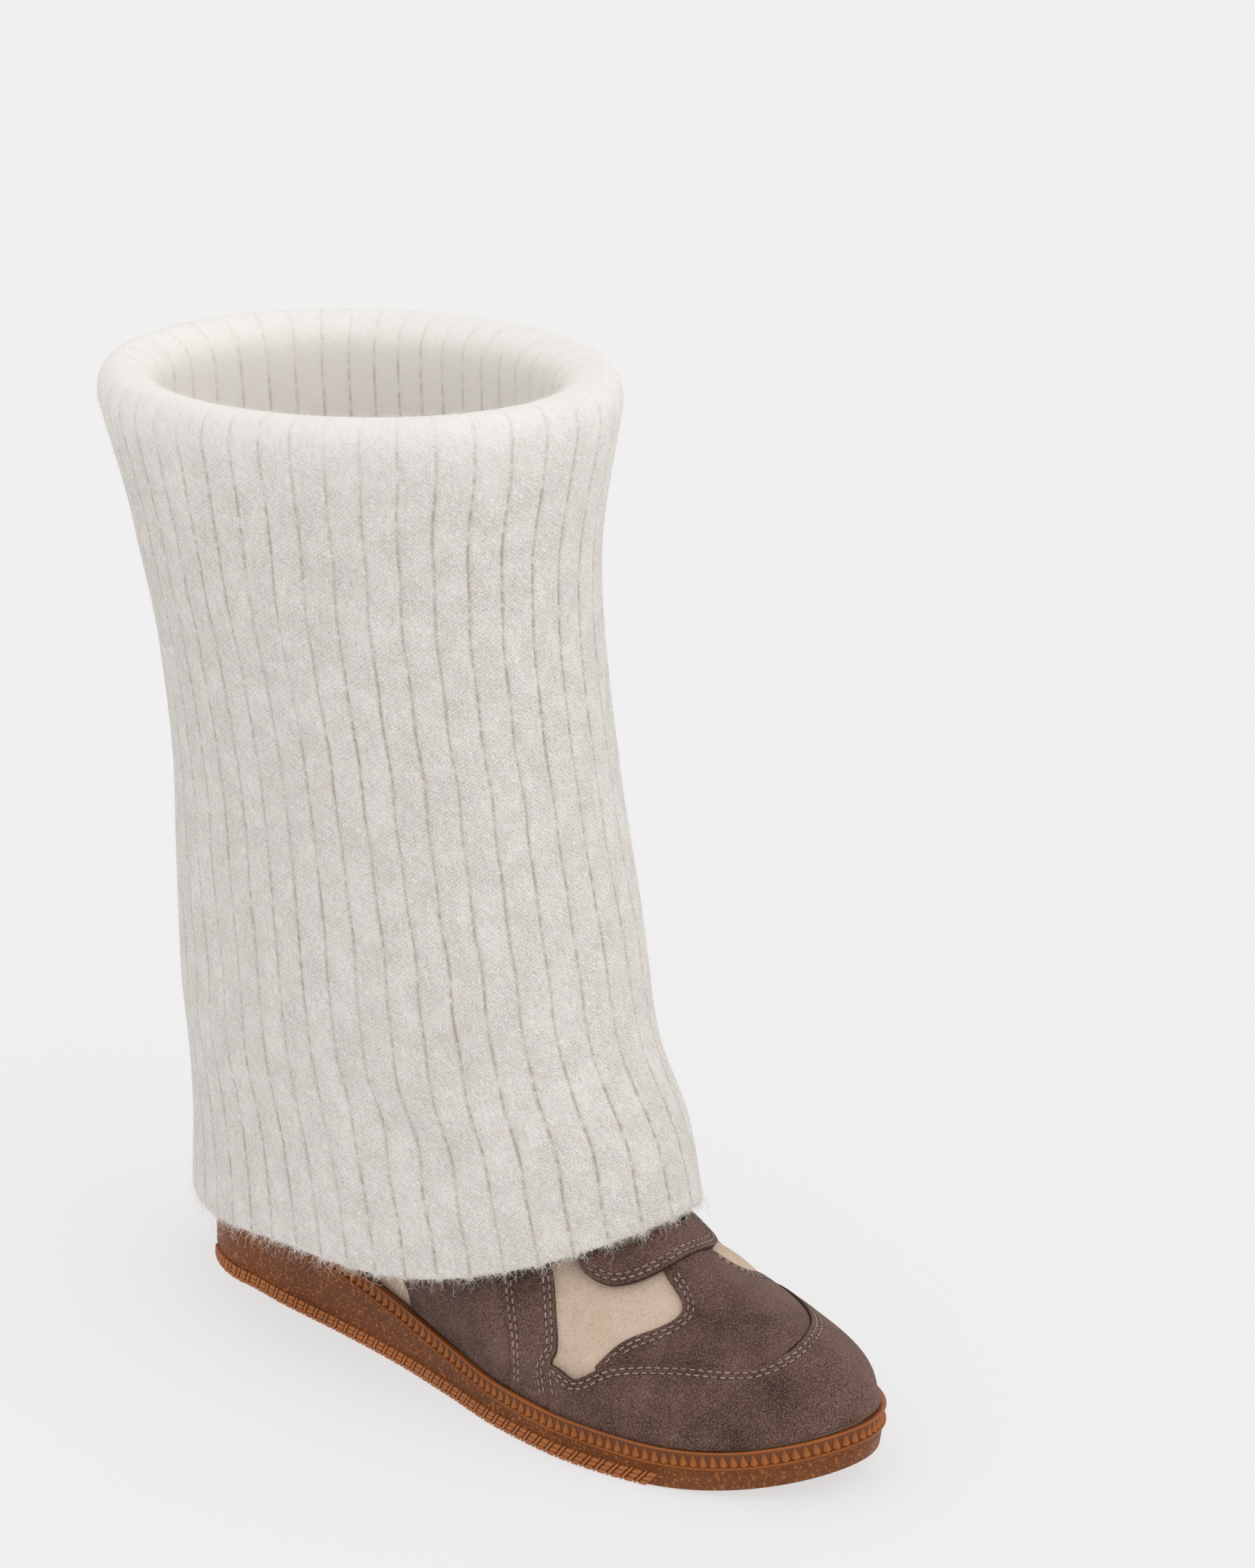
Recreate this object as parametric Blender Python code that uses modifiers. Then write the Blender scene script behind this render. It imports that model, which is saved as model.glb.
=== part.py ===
# Sweater boot for the right foot: gum rubber cupsole, suede upper with sewn-on panels,
# and a ribbed knit shaft that folds over at the top and hangs down over the shoe.
# Metres, +Z up, toe toward -Y, outer side of the foot toward -X, ground at Z = 0.

import math
from collections import namedtuple

import bpy
import numpy as np

SHOE_LENGTH = 0.264
BALL_WIDTH = 0.091
HEEL_HEIGHT = 0.033
TOE_SPRING = 0.009

CUP_LIP = 0.0034
CUP_DEPTH = 0.0042
EDGE_ROUND = 0.0022
END_TUCK = 0.0040
TREAD_HEIGHT = 0.0056
TREAD_RELIEF = 0.0008
TREAD_SLANT = 0.0016
BAND_HEIGHT = 0.0050
BAND_STEP = 0.0008

UPPER_WALL = 0.0020
INSOLE_FORE = 0.0050
INSOLE_HEEL = 0.0120
PANEL_THICKNESS = 0.0012
GUARD_THICKNESS = 0.0016
STRAP_THICKNESS = 0.0014

COLLAR_HEIGHT = 0.118
COLLAR_WIDTH = 0.074
COLLAR_LENGTH = 0.112
COLLAR_FROM_HEEL = 0.015

SHAFT_HEIGHT = 0.301
KNIT_WALL = 0.0035
RIM_TILT = 0.016
ROLL_CENTRE = 0.0735
ROLL_HALF_WIDTH = 0.0575
ROLL_HALF_LENGTH = 0.0845
ROLL_HEIGHT = 0.009
ROLL_OUTER = 0.006
ROLL_INNER = 0.013

GAP = 0.0003
PANEL_GAP = 0.0005

SOLE_COLUMNS = 76
TREAD_PER_COLUMN = 3
UPPER_COLUMNS = 68
UPPER_ROWS = 15
KNIT_COLUMNS = 36
LINING_RINGS = 4
PANEL_SPLITS = 2

# The sole's outline: how far along from the heel, the half widths of its two sides before
# the ends are rounded, as shares of the ball width, and the side's height as a share of the heel's.
SoleStation = namedtuple("SoleStation", "along outer inner height")
SOLE_STATIONS = [
    SoleStation(0.00, 0.345, 0.356, 1.00),
    SoleStation(0.13, 0.348, 0.356, 0.91),
    SoleStation(0.20, 0.368, 0.363, 0.87),
    SoleStation(0.30, 0.384, 0.342, 0.79),
    SoleStation(0.40, 0.410, 0.321, 0.66),
    SoleStation(0.50, 0.456, 0.348, 0.53),
    SoleStation(0.60, 0.508, 0.424, 0.45),
    SoleStation(0.68, 0.521, 0.479, 0.43),
    SoleStation(0.76, 0.521, 0.503, 0.42),
    SoleStation(0.90, 0.521, 0.520, 0.40),
    SoleStation(1.00, 0.521, 0.520, 0.42),
]
HEEL_ROUNDING = (0.13, 2.0)
TOE_ROUNDING = (0.32, 1.8)
SPRING_START = 0.80
TREAD_END = 0.80
TREAD_FADE = 0.03

# How each line of the upper climbs from the sole to the collar: the share of the half turn
# round the collar that it ends at, the length and outward lean of its start, where its middle
# lies between start and end and how far that is lifted, and the length of its end. Lengths
# are shares of the collar's height.
UpperStation = namedtuple("UpperStation", "along turn rise lean middle lift drop")
UPPER_STATIONS = [
    UpperStation(0.00, 0.00, 0.24, 0.10, 0.50, 0.00, 0.30),
    UpperStation(0.13, 0.24, 0.24, 0.10, 0.50, 0.00, 0.30),
    UpperStation(0.30, 0.44, 0.22, 0.10, 0.50, 0.00, 0.36),
    UpperStation(0.45, 0.58, 0.19, 0.12, 0.50, 0.00, 0.46),
    UpperStation(0.60, 0.71, 0.16, 0.14, 0.49, -0.02, 0.59),
    UpperStation(0.75, 0.82, 0.16, 0.14, 0.47, -0.04, 0.67),
    UpperStation(0.88, 0.91, 0.18, 0.14, 0.44, -0.05, 0.71),
    UpperStation(1.00, 1.00, 0.20, 0.14, 0.41, -0.05, 0.72),
]
COLLAR_LEAN = 0.43

# The shaft's outer face as tilted ovals, from the hem up: heights at the back and the front as
# shares of the shaft's height, how late the height rises toward the front, then centre from the
# heel, half width and half length as shares of the shoe's length.
ShaftRing = namedtuple("ShaftRing", "back front late centre half_width half_length")
SHAFT_RINGS = [
    ShaftRing(0.072, 0.208, 2.2, 0.340, 0.204, 0.366),
    ShaftRing(0.175, 0.275, 1.8, 0.334, 0.207, 0.352),
    ShaftRing(0.330, 0.375, 1.2, 0.300, 0.209, 0.326),
    ShaftRing(0.460, 0.480, 1.0, 0.288, 0.209, 0.313),
    ShaftRing(0.584, 0.590, 1.0, 0.274, 0.209, 0.297),
    ShaftRing(0.708, 0.708, 1.0, 0.254, 0.213, 0.292),
    ShaftRing(0.820, 0.836, 1.0, 0.232, 0.221, 0.302),
]

# Panels that span the upper, given as turns round the sole (0 heel, 0.25 outer side, 0.5 toe,
# 0.75 inner side) and how far up the upper their lower and upper edges lie there.
SpanStation = namedtuple("SpanStation", "along low high")
TOE_GUARD = [
    SpanStation(0.3085, 0.008, 0.165),
    SpanStation(0.3120, 0.008, 0.215),
    SpanStation(0.3170, 0.008, 0.205),
    SpanStation(0.3215, 0.008, 0.180),
    SpanStation(0.328, 0.008, 0.205),
    SpanStation(0.336, 0.008, 0.255),
    SpanStation(0.352, 0.008, 0.320),
    SpanStation(0.375, 0.008, 0.350),
    SpanStation(0.396, 0.008, 0.345),
    SpanStation(0.430, 0.008, 0.295),
    SpanStation(0.455, 0.008, 0.305),
    SpanStation(0.500, 0.008, 0.340),
    SpanStation(0.540, 0.008, 0.355),
    SpanStation(0.580, 0.008, 0.360),
    SpanStation(0.611, 0.008, 0.350),
    SpanStation(0.640, 0.008, 0.310),
    SpanStation(0.664, 0.008, 0.255),
    SpanStation(0.6915, 0.008, 0.165),
]
VAMP_PANEL = [
    SpanStation(0.338, 0.270, 0.285),
    SpanStation(0.354, 0.332, 0.384),
    SpanStation(0.372, 0.358, 0.444),
    SpanStation(0.401, 0.348, 0.481),
    SpanStation(0.422, 0.312, 0.508),
    SpanStation(0.433, 0.300, 0.548),
    SpanStation(0.438, 0.300, 0.610),
    SpanStation(0.455, 0.314, 0.655),
    SpanStation(0.500, 0.350, 0.670),
    SpanStation(0.540, 0.364, 0.660),
    SpanStation(0.574, 0.370, 0.630),
    SpanStation(0.583, 0.370, 0.570),
    SpanStation(0.594, 0.368, 0.530),
    SpanStation(0.618, 0.357, 0.480),
    SpanStation(0.640, 0.322, 0.420),
    SpanStation(0.662, 0.270, 0.285),
]
STRAP = [
    SpanStation(0.361, 0.622, 0.645),
    SpanStation(0.368, 0.598, 0.662),
    SpanStation(0.383, 0.585, 0.662),
    SpanStation(0.431, 0.606, 0.668),
    SpanStation(0.487, 0.620, 0.680),
    SpanStation(0.540, 0.615, 0.676),
    SpanStation(0.600, 0.590, 0.660),
    SpanStation(0.622, 0.586, 0.660),
    SpanStation(0.634, 0.598, 0.656),
    SpanStation(0.641, 0.622, 0.645),
]

# Panels that climb the upper's side: how far up, and the turns where they begin and end there.
ClimbStation = namedtuple("ClimbStation", "along rear front")
SIDE_BAND = [
    ClimbStation(0.008, 0.286, 0.3065),
    ClimbStation(0.170, 0.289, 0.3075),
    ClimbStation(0.230, 0.290, 0.3120),
    ClimbStation(0.300, 0.291, 0.318),
    ClimbStation(0.450, 0.294, 0.325),
    ClimbStation(0.600, 0.300, 0.336),
    ClimbStation(0.720, 0.306, 0.345),
]
QUARTER_PANEL = [
    ClimbStation(0.008, 0.226, 0.284),
    ClimbStation(0.090, 0.221, 0.286),
    ClimbStation(0.200, 0.213, 0.288),
    ClimbStation(0.380, 0.205, 0.291),
    ClimbStation(0.600, 0.202, 0.298),
    ClimbStation(0.720, 0.202, 0.304),
]


def curve_through(at, places, values):
    """Values of a smooth curve through a table's rows that never overshoots them."""
    at = np.asarray(at, float)
    places = np.asarray(places, float)
    values = np.asarray(values, float)
    steps = np.diff(places)
    slopes = np.diff(values) / steps
    tangents = np.zeros_like(values)
    tangents[0] = slopes[0]
    tangents[-1] = slopes[-1]
    same_way = slopes[:-1] * slopes[1:] > 0
    harmonic = 2 * slopes[:-1] * slopes[1:] / np.where(same_way, slopes[:-1] + slopes[1:], 1)
    tangents[1:-1] = np.where(same_way, harmonic, 0)
    row = np.clip(np.searchsorted(places, at) - 1, 0, len(steps) - 1)
    t = (at - places[row]) / steps[row]
    start = values[row] * (1 + 2 * t) * (1 - t) ** 2 + tangents[row] * steps[row] * t * (1 - t) ** 2
    end = values[row + 1] * t**2 * (3 - 2 * t) - tangents[row + 1] * steps[row] * t**2 * (1 - t)
    return start + end


def column(table, name, at):
    return curve_through(at, [row.along for row in table], [getattr(row, name) for row in table])


def end_rounding(along):
    """1 along the middle of the sole, falling to 0 round the heel and round the toe."""
    heel_reach, heel_power = HEEL_ROUNDING
    toe_reach, toe_power = TOE_ROUNDING
    heel = np.clip(1 - along / heel_reach, 0, 1) ** heel_power
    toe = np.clip((along - 1 + toe_reach) / toe_reach, 0, 1) ** toe_power
    return (1 - heel) ** (1 / heel_power) * (1 - toe) ** (1 / toe_power)


def outline(turns):
    """Plan of the sole at these turns (0 heel, 0.5 toe, outer side first): x, y and along."""
    along = 0.5 - 0.5 * np.cos(2 * np.pi * turns)
    outer = turns <= 0.5
    half = np.where(outer, -column(SOLE_STATIONS, "outer", along), column(SOLE_STATIONS, "inner", along))
    x = half * BALL_WIDTH * end_rounding(along)
    y = SHOE_LENGTH * (0.5 - along)
    return x, y, along


def outline_inset(turns, inset):
    """The outline moved inwards by a distance, square to itself."""
    step = 1e-4
    x, y, along = outline(turns)
    x0, y0, _ = outline((turns - step) % 1.0)
    x1, y1, _ = outline((turns + step) % 1.0)
    dx, dy = x1 - x0, y1 - y0
    length = np.hypot(dx, dy)
    return x - dy / length * inset, y + dx / length * inset, along


def sole_bottom(along):
    start = np.clip((along - SPRING_START) / (1 - SPRING_START), 0, 1)
    return TOE_SPRING * start**1.9


def sole_top(along):
    return sole_bottom(along) + HEEL_HEIGHT * column(SOLE_STATIONS, "height", along)


def turns_of(count):
    return np.arange(count) / count


def material(name, colour, roughness):
    made = bpy.data.materials.new(name)
    made.use_nodes = True
    shader = made.node_tree.nodes["Principled BSDF"]
    shader.inputs["Base Color"].default_value = (*colour, 1.0)
    shader.inputs["Roughness"].default_value = roughness
    shader.inputs["Metallic"].default_value = 0.0
    return made


def add_object(name, points, faces, collection, finish=None):
    mesh = bpy.data.meshes.new(name)
    mesh.from_pydata([tuple(point) for point in points], [], faces)
    mesh.validate()
    made = bpy.data.objects.new(name, mesh)
    collection.objects.link(made)
    if finish:
        mesh.materials.append(finish)
    mesh.shade_smooth()
    mesh.set_sharp_from_angle(angle=math.radians(40))
    return made


def ring_faces(lower, upper):
    """Quads between two closed rings of point numbers, facing away from their middle."""
    count = len(lower)
    return [(lower[i], lower[(i + 1) % count], upper[(i + 1) % count], upper[i]) for i in range(count)]


def mixed_ring_faces(coarse, fine, coarse_below):
    """Faces between a coarse ring and one with several points to each of its points."""
    per = len(fine) // len(coarse)
    count = len(coarse)
    faces = []
    for i in range(count):
        here, after = coarse[i], coarse[(i + 1) % count]
        split = per // 2
        for k in range(per):
            a, b = fine[i * per + k], fine[(i * per + k + 1) % len(fine)]
            hub = here if k <= split else after
            faces.append((hub, b, a) if coarse_below else (hub, a, b))
            if k == split:
                faces.append((here, after, b) if coarse_below else (here, b, after))
    return faces


def cap_faces(ring, up):
    """Strips straight across a ring that is even about its first point."""
    count = len(ring)
    half = count // 2
    faces = []
    for i in range(half):
        corners = [ring[i], ring[i + 1], ring[(count - i - 1) % count], ring[(count - i) % count]]
        corners = list(dict.fromkeys(corners))
        faces.append(tuple(corners if up else corners[::-1]))
    return faces


def outsole(collection, finish):
    """Cupsole: tread ribs round the bottom edge, plain side, proud band, and a lip round a recess."""
    points, rings = [], []

    def ring(turns, inset, z_of, ribs=0.0, tuck=0.0):
        along = outline(turns)[2]
        fade = np.clip((TREAD_END - along) / TREAD_FADE, 0, 1) * np.clip(along / TREAD_FADE, 0, 1)
        raised = np.where(np.arange(len(turns)) % 2 == 0, ribs, 0.0) * fade
        inset = inset - raised + tuck * (1 - end_rounding(along))
        x, y, along = outline_inset(turns, inset)
        z = z_of(along)
        first = len(points)
        points.extend(zip(x, y, z))
        rings.append(list(range(first, first + len(turns))))
        return rings[-1]

    coarse = turns_of(SOLE_COLUMNS)
    fine = turns_of(SOLE_COLUMNS * TREAD_PER_COLUMN)

    def above_floor(height):
        return lambda along: sole_bottom(along) + height

    def below_top(depth):
        return lambda along: sole_top(along) - depth

    edge = ring(coarse, EDGE_ROUND, above_floor(0.0), tuck=END_TUCK)
    tread_low = ring(fine, EDGE_ROUND / 4, above_floor(EDGE_ROUND / 2), TREAD_RELIEF, END_TUCK)
    slanted = fine + TREAD_SLANT / (math.pi * SHOE_LENGTH) * np.sin(2 * np.pi * fine)
    tread_high = ring(slanted, EDGE_ROUND / 4, above_floor(TREAD_HEIGHT), TREAD_RELIEF, END_TUCK / 2)
    wall_low = ring(coarse, BAND_STEP, above_floor(TREAD_HEIGHT + BAND_STEP), tuck=END_TUCK / 2)
    wall_high = ring(coarse, BAND_STEP, below_top(BAND_HEIGHT + BAND_STEP))
    band_low = ring(coarse, 0.0, below_top(BAND_HEIGHT))
    band_high = ring(coarse, 0.0, below_top(BAND_STEP))
    lip_outer = ring(coarse, BAND_STEP, below_top(0.0))
    lip_inner = ring(coarse, CUP_LIP, below_top(0.0))
    seat = ring(coarse, CUP_LIP, below_top(CUP_DEPTH))
    faces = mixed_ring_faces(edge, tread_low, True) + ring_faces(tread_low, tread_high)
    faces += mixed_ring_faces(wall_low, tread_high, False)
    stack = [wall_low, wall_high, band_low, band_high, lip_outer, lip_inner, seat]
    for lower, upper in zip(stack, stack[1:]):
        faces += ring_faces(lower, upper)
    faces += cap_faces(edge, False) + cap_faces(seat, True)
    return add_object("outsole", points, faces, collection, finish)


def upper_point(turns, rows):
    """Points of the upper's outer face; rows run from 0 at the sole's lip to 1 at the collar."""
    turns = turns % 1.0
    x, y, along = outline_inset(turns, CUP_LIP + GAP)
    out_x, out_y, _ = outline_inset(turns, CUP_LIP)
    start = np.stack([x, y, sole_top(along) + GAP], axis=-1)
    out = np.stack([out_x - x, out_y - y, 0 * x], axis=-1) / GAP
    turn = np.pi * column(UPPER_STATIONS, "turn", along)
    collar_y = SHOE_LENGTH / 2 - COLLAR_FROM_HEEL - COLLAR_LENGTH / 2 * (1 - np.cos(turn))
    collar_x = np.where(turns <= 0.5, -1.0, 1.0) * COLLAR_WIDTH / 2 * np.sin(turn)
    end = np.stack([collar_x, collar_y, np.full_like(x, COLLAR_HEIGHT)], axis=-1)
    lean = COLLAR_LEAN * (1 - np.cos(turn)) / 2
    climb = np.stack([0 * lean, lean, np.sqrt(1 - lean**2)], axis=-1)

    def share(name):
        return COLLAR_HEIGHT * column(UPPER_STATIONS, name, along)[..., None]

    up = np.array([0.0, 0.0, 1.0])
    first = start + share("rise") * (up + column(UPPER_STATIONS, "lean", along)[..., None] * out)
    last = end - share("drop") * climb
    middle = first + (last - first) * column(UPPER_STATIONS, "middle", along)[..., None] + share("lift") * up
    t = rows[..., None]
    s = 1 - t
    return s**4 * start + 4 * s**3 * t * first + 6 * s**2 * t**2 * middle + 4 * s * t**3 * last + t**4 * end


def upper_surface(turns, rows, offset):
    """The upper's outer face moved out by a distance, square to itself."""
    step = 1e-3
    across = upper_point(turns + step, rows) - upper_point(turns - step, rows)
    climb = upper_point(turns, rows + step) - upper_point(turns, rows - step)
    normal = np.cross(across, climb)
    normal /= np.linalg.norm(normal, axis=-1)[..., None]
    return upper_point(turns, rows) + offset * normal


def upper(collection, finish):
    """Hollow suede shell from the sole's recess to the ankle, open above and below."""
    turns, rows = np.meshgrid(turns_of(UPPER_COLUMNS), np.linspace(0, 1, UPPER_ROWS))
    grid = upper_point(turns, rows)
    skirt = grid[0] - np.array([0, 0, CUP_DEPTH])
    rings = [skirt, *grid]
    points = np.concatenate(rings)
    faces = []
    for r in range(len(rings) - 1):
        lower = [r * UPPER_COLUMNS + i for i in range(UPPER_COLUMNS)]
        higher = [i + UPPER_COLUMNS for i in lower]
        faces += ring_faces(lower, higher)
    made = add_object("upper", points, faces, collection, finish)
    wall = made.modifiers.new("wall", "SOLIDIFY")
    wall.thickness = UPPER_WALL
    wall.offset = -1
    return made


def insole(collection, finish):
    """Footbed inside the upper, thicker under the heel."""
    turns = turns_of(SOLE_COLUMNS)
    inset = CUP_LIP + GAP + UPPER_WALL + GAP
    x, y, along = outline_inset(turns, inset)
    floor = sole_top(along) - CUP_DEPTH + GAP
    thickness = INSOLE_FORE + (INSOLE_HEEL - INSOLE_FORE) * np.clip(1 - along / 0.55, 0, 1)
    points = list(zip(x, y, floor)) + list(zip(x, y, floor + thickness))
    lower = list(range(SOLE_COLUMNS))
    higher = [i + SOLE_COLUMNS for i in lower]
    faces = ring_faces(lower, higher) + cap_faces(lower, False) + cap_faces(higher, True)
    return add_object("insole", points, faces, collection, finish)


def panel(name, turns, rows, offset, thickness, collection, finish):
    """A grid over the upper as one closed sheet, standing off the upper by an offset."""
    inside = upper_surface(turns, rows, offset)
    outside = upper_surface(turns, rows, offset + thickness)
    deep, wide = turns.shape
    points = np.concatenate([inside.reshape(-1, 3), outside.reshape(-1, 3)])
    number = np.arange(deep * wide).reshape(deep, wide)
    faces = []
    for r in range(deep - 1):
        for c in range(wide - 1):
            quad = [number[r, c], number[r, c + 1], number[r + 1, c + 1], number[r + 1, c]]
            faces.append(tuple(int(k) for k in quad[::-1]))
            faces.append(tuple(int(k) + deep * wide for k in quad))
    rim = [*number[0, :-1], *number[:-1, -1], *number[-1, :0:-1], *number[:0:-1, 0]]
    rim = [int(k) for k in rim]
    faces += ring_faces(rim, [k + deep * wide for k in rim])
    return add_object(name, points, faces, collection, finish)


def split_places(table):
    """Each of a table's places, with evenly spaced ones between them."""
    places = [row.along for row in table]
    marks = np.linspace(0, len(places) - 1, (len(places) - 1) * PANEL_SPLITS + 1)
    return np.interp(marks, np.arange(len(places)), places)


def spanning_panel(name, table, cells, offset, thickness, collection, finish):
    places = split_places(table)
    low, high = column(table, "low", places), column(table, "high", places)
    share = np.linspace(0, 1, cells + 1)[:, None]
    turns = np.repeat(places[None, :], cells + 1, axis=0)
    return panel(name, turns, low + (high - low) * share, offset, thickness, collection, finish)


def climbing_panels(name, table, cells, offset, thickness, collection, finish):
    """A panel on the outer side and its mirrored twin on the inner side."""
    places = split_places(table)
    rear, front = column(table, "rear", places), column(table, "front", places)
    share = np.linspace(0, 1, cells + 1)[:, None]
    turns = (rear + (front - rear) * share).T
    rows = np.repeat(places[:, None], cells + 1, axis=1)
    panel(name + "_outer", turns, rows, offset, thickness, collection, finish)
    panel(name + "_inner", 1 - turns[:, ::-1], rows, offset, thickness, collection, finish)


def oval(centre, half_width, half_length, back, front, turns, late=1.0):
    """A closed oval ring whose height runs from its back to its front."""
    angle = 2 * np.pi * turns
    x = -half_width * np.sin(angle)
    y = centre + half_length * np.cos(angle)
    z = back + (front - back) * ((1 - np.cos(angle)) / 2) ** late
    return np.stack([x, y, z], axis=1)


def knit_shaft(collection, finish):
    """One knitted wall: up from the collar inside, over the roll, and down outside to the hem."""
    turns = turns_of(KNIT_COLUMNS)
    heel = SHOE_LENGTH / 2
    rings = []
    for row in SHAFT_RINGS:
        rings.append(oval(
            heel - row.centre * SHOE_LENGTH, row.half_width * SHOE_LENGTH, row.half_length * SHOE_LENGTH,
            row.back * SHAFT_HEIGHT, row.front * SHAFT_HEIGHT, turns, row.late,
        ))
    back, front = SHAFT_HEIGHT - RIM_TILT / 2, SHAFT_HEIGHT + RIM_TILT / 2
    for degrees in range(0, 181, 30):
        angle = math.radians(degrees)
        reach = (ROLL_OUTER if degrees < 90 else ROLL_INNER) * math.cos(angle)
        drop = ROLL_HEIGHT * (1 - math.sin(angle))
        rings.append(oval(
            ROLL_CENTRE, ROLL_HALF_WIDTH + reach, ROLL_HALF_LENGTH + reach, back - drop, front - drop, turns,
        ))
    top = np.array([ROLL_CENTRE, ROLL_HALF_WIDTH - ROLL_INNER, ROLL_HALF_LENGTH - ROLL_INNER,
                    back - ROLL_HEIGHT, front - ROLL_HEIGHT])
    seat = COLLAR_HEIGHT + GAP
    collar = np.array([heel - COLLAR_FROM_HEEL - COLLAR_LENGTH / 2, COLLAR_WIDTH / 2 - UPPER_WALL,
                       COLLAR_LENGTH / 2 - UPPER_WALL, seat, seat])
    for t in np.linspace(0, 1, LINING_RINGS + 1)[1:]:
        ease = np.array([t, t * t * (3 - 2 * t), t * t * (3 - 2 * t), t, t])
        rings.append(oval(*(top + (collar - top) * ease), turns))
    points = np.concatenate(rings)
    faces = []
    for r in range(len(rings) - 1):
        lower = [r * KNIT_COLUMNS + i for i in range(KNIT_COLUMNS)]
        faces += ring_faces(lower, [i + KNIT_COLUMNS for i in lower])
    made = add_object("knit_shaft", points, faces, collection, finish)
    wall = made.modifiers.new("wall", "SOLIDIFY")
    wall.thickness = KNIT_WALL
    wall.offset = -1
    return made


def centre_on_ground(collection):
    """Moves every object so that the middle of the boot's extent stands on the origin."""
    bpy.context.view_layer.update()
    graph = bpy.context.evaluated_depsgraph_get()
    corners = [
        corner for made in collection.objects for corner in made.evaluated_get(graph).bound_box
    ]
    low, high = np.min(corners, axis=0), np.max(corners, axis=0)
    for made in collection.objects:
        made.location = (-(low[0] + high[0]) / 2, -(low[1] + high[1]) / 2, -low[2])


def build():
    for old in list(bpy.data.objects):
        bpy.data.objects.remove(old, do_unlink=True)
    boot = bpy.data.collections.new("sweater_boot")
    bpy.context.scene.collection.children.link(boot)
    gum = material("gum_rubber", (0.36, 0.13, 0.045), 0.6)
    sand = material("sand_suede", (0.55, 0.40, 0.29), 0.9)
    brown = material("brown_suede", (0.12, 0.075, 0.06), 0.9)
    footbed = material("footbed", (0.62, 0.50, 0.36), 0.8)
    wool = material("ivory_knit", (0.82, 0.78, 0.72), 0.95)
    outsole(boot, gum)
    upper(boot, sand)
    insole(boot, footbed)
    spanning_panel("toe_guard", TOE_GUARD, 5, PANEL_GAP, GUARD_THICKNESS, boot, brown)
    spanning_panel("vamp_panel", VAMP_PANEL, 4, PANEL_GAP, PANEL_THICKNESS, boot, brown)
    climbing_panels("side_band", SIDE_BAND, 2, PANEL_GAP, PANEL_THICKNESS, boot, brown)
    climbing_panels("quarter_panel", QUARTER_PANEL, 6, PANEL_GAP, PANEL_THICKNESS, boot, brown)
    spanning_panel("strap", STRAP, 2, 2 * PANEL_GAP + PANEL_THICKNESS, STRAP_THICKNESS, boot, brown)
    knit_shaft(boot, wool)
    centre_on_ground(boot)


build()
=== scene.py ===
from contextlib import contextmanager
import math

import bmesh
import bpy
import numpy as np
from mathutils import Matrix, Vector
from mathutils.bvhtree import BVHTree
from mathutils.kdtree import KDTree


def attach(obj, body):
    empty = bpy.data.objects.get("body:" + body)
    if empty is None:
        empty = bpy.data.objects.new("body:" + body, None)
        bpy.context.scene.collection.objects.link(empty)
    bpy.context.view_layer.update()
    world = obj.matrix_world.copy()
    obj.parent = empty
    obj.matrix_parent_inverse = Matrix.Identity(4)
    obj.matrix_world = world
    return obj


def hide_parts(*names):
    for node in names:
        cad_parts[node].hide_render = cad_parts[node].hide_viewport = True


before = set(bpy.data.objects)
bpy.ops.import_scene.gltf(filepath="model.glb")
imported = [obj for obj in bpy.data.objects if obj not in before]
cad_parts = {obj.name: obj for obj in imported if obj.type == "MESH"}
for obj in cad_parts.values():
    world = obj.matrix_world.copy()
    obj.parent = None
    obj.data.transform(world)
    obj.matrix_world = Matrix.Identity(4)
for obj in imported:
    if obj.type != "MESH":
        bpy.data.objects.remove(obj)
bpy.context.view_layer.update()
print("frame loaded")


def deselectAll():
    bpy.ops.object.select_all(action="DESELECT")


def makeActive(piece):
    deselectAll()
    piece.select_set(True)
    bpy.context.view_layer.objects.active = piece


def readPoints(mesh):
    points = np.empty(len(mesh.vertices) * 3)
    mesh.vertices.foreach_get("co", points)
    return points.reshape(-1, 3)


def writePoints(mesh, points):
    mesh.vertices.foreach_set("co", np.ascontiguousarray(points, dtype=np.float32).ravel())
    mesh.update()


@contextmanager
def editing(piece, selection="SELECT"):
    # edit mode on one piece, with all of it or nothing selected
    makeActive(piece)
    bpy.ops.object.mode_set(mode="EDIT")
    bpy.ops.mesh.select_all(action=selection)
    yield
    bpy.ops.object.mode_set(mode="OBJECT")


def mergePoints(piece):
    with editing(piece):
        bpy.ops.mesh.remove_doubles(threshold=1e-6)


def nodeCopy(nodeName, pieceName):
    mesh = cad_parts[nodeName].data.copy()
    mesh.name = pieceName
    piece = bpy.data.objects.new(pieceName, mesh)
    bpy.context.scene.collection.objects.link(piece)
    mesh.materials.clear()
    mergePoints(piece)
    with editing(piece):
        bpy.ops.mesh.tris_convert_to_quads(face_threshold=0.7, shape_threshold=1.2)
    return piece


def finishModifiers(piece):
    makeActive(piece)
    for modifier in list(piece.modifiers):
        bpy.ops.object.modifier_apply(modifier=modifier.name)


def subdivide(piece, levels):
    smoother = piece.modifiers.new("subdivide", "SUBSURF")
    smoother.levels = levels
    smoother.render_levels = levels
    finishModifiers(piece)


def surfaceTree(piece):
    mesh = piece.data
    points = [vertex.co for vertex in mesh.vertices]
    return BVHTree.FromPolygons(points, [tuple(face.vertices) for face in mesh.polygons])


def nearestOn(tree, points, part):
    # for each point the nearest place on a surface: 0 its place, 1 its normal, 3 its distance
    return np.array([tree.find_nearest(Vector(point))[part] for point in points])


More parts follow.
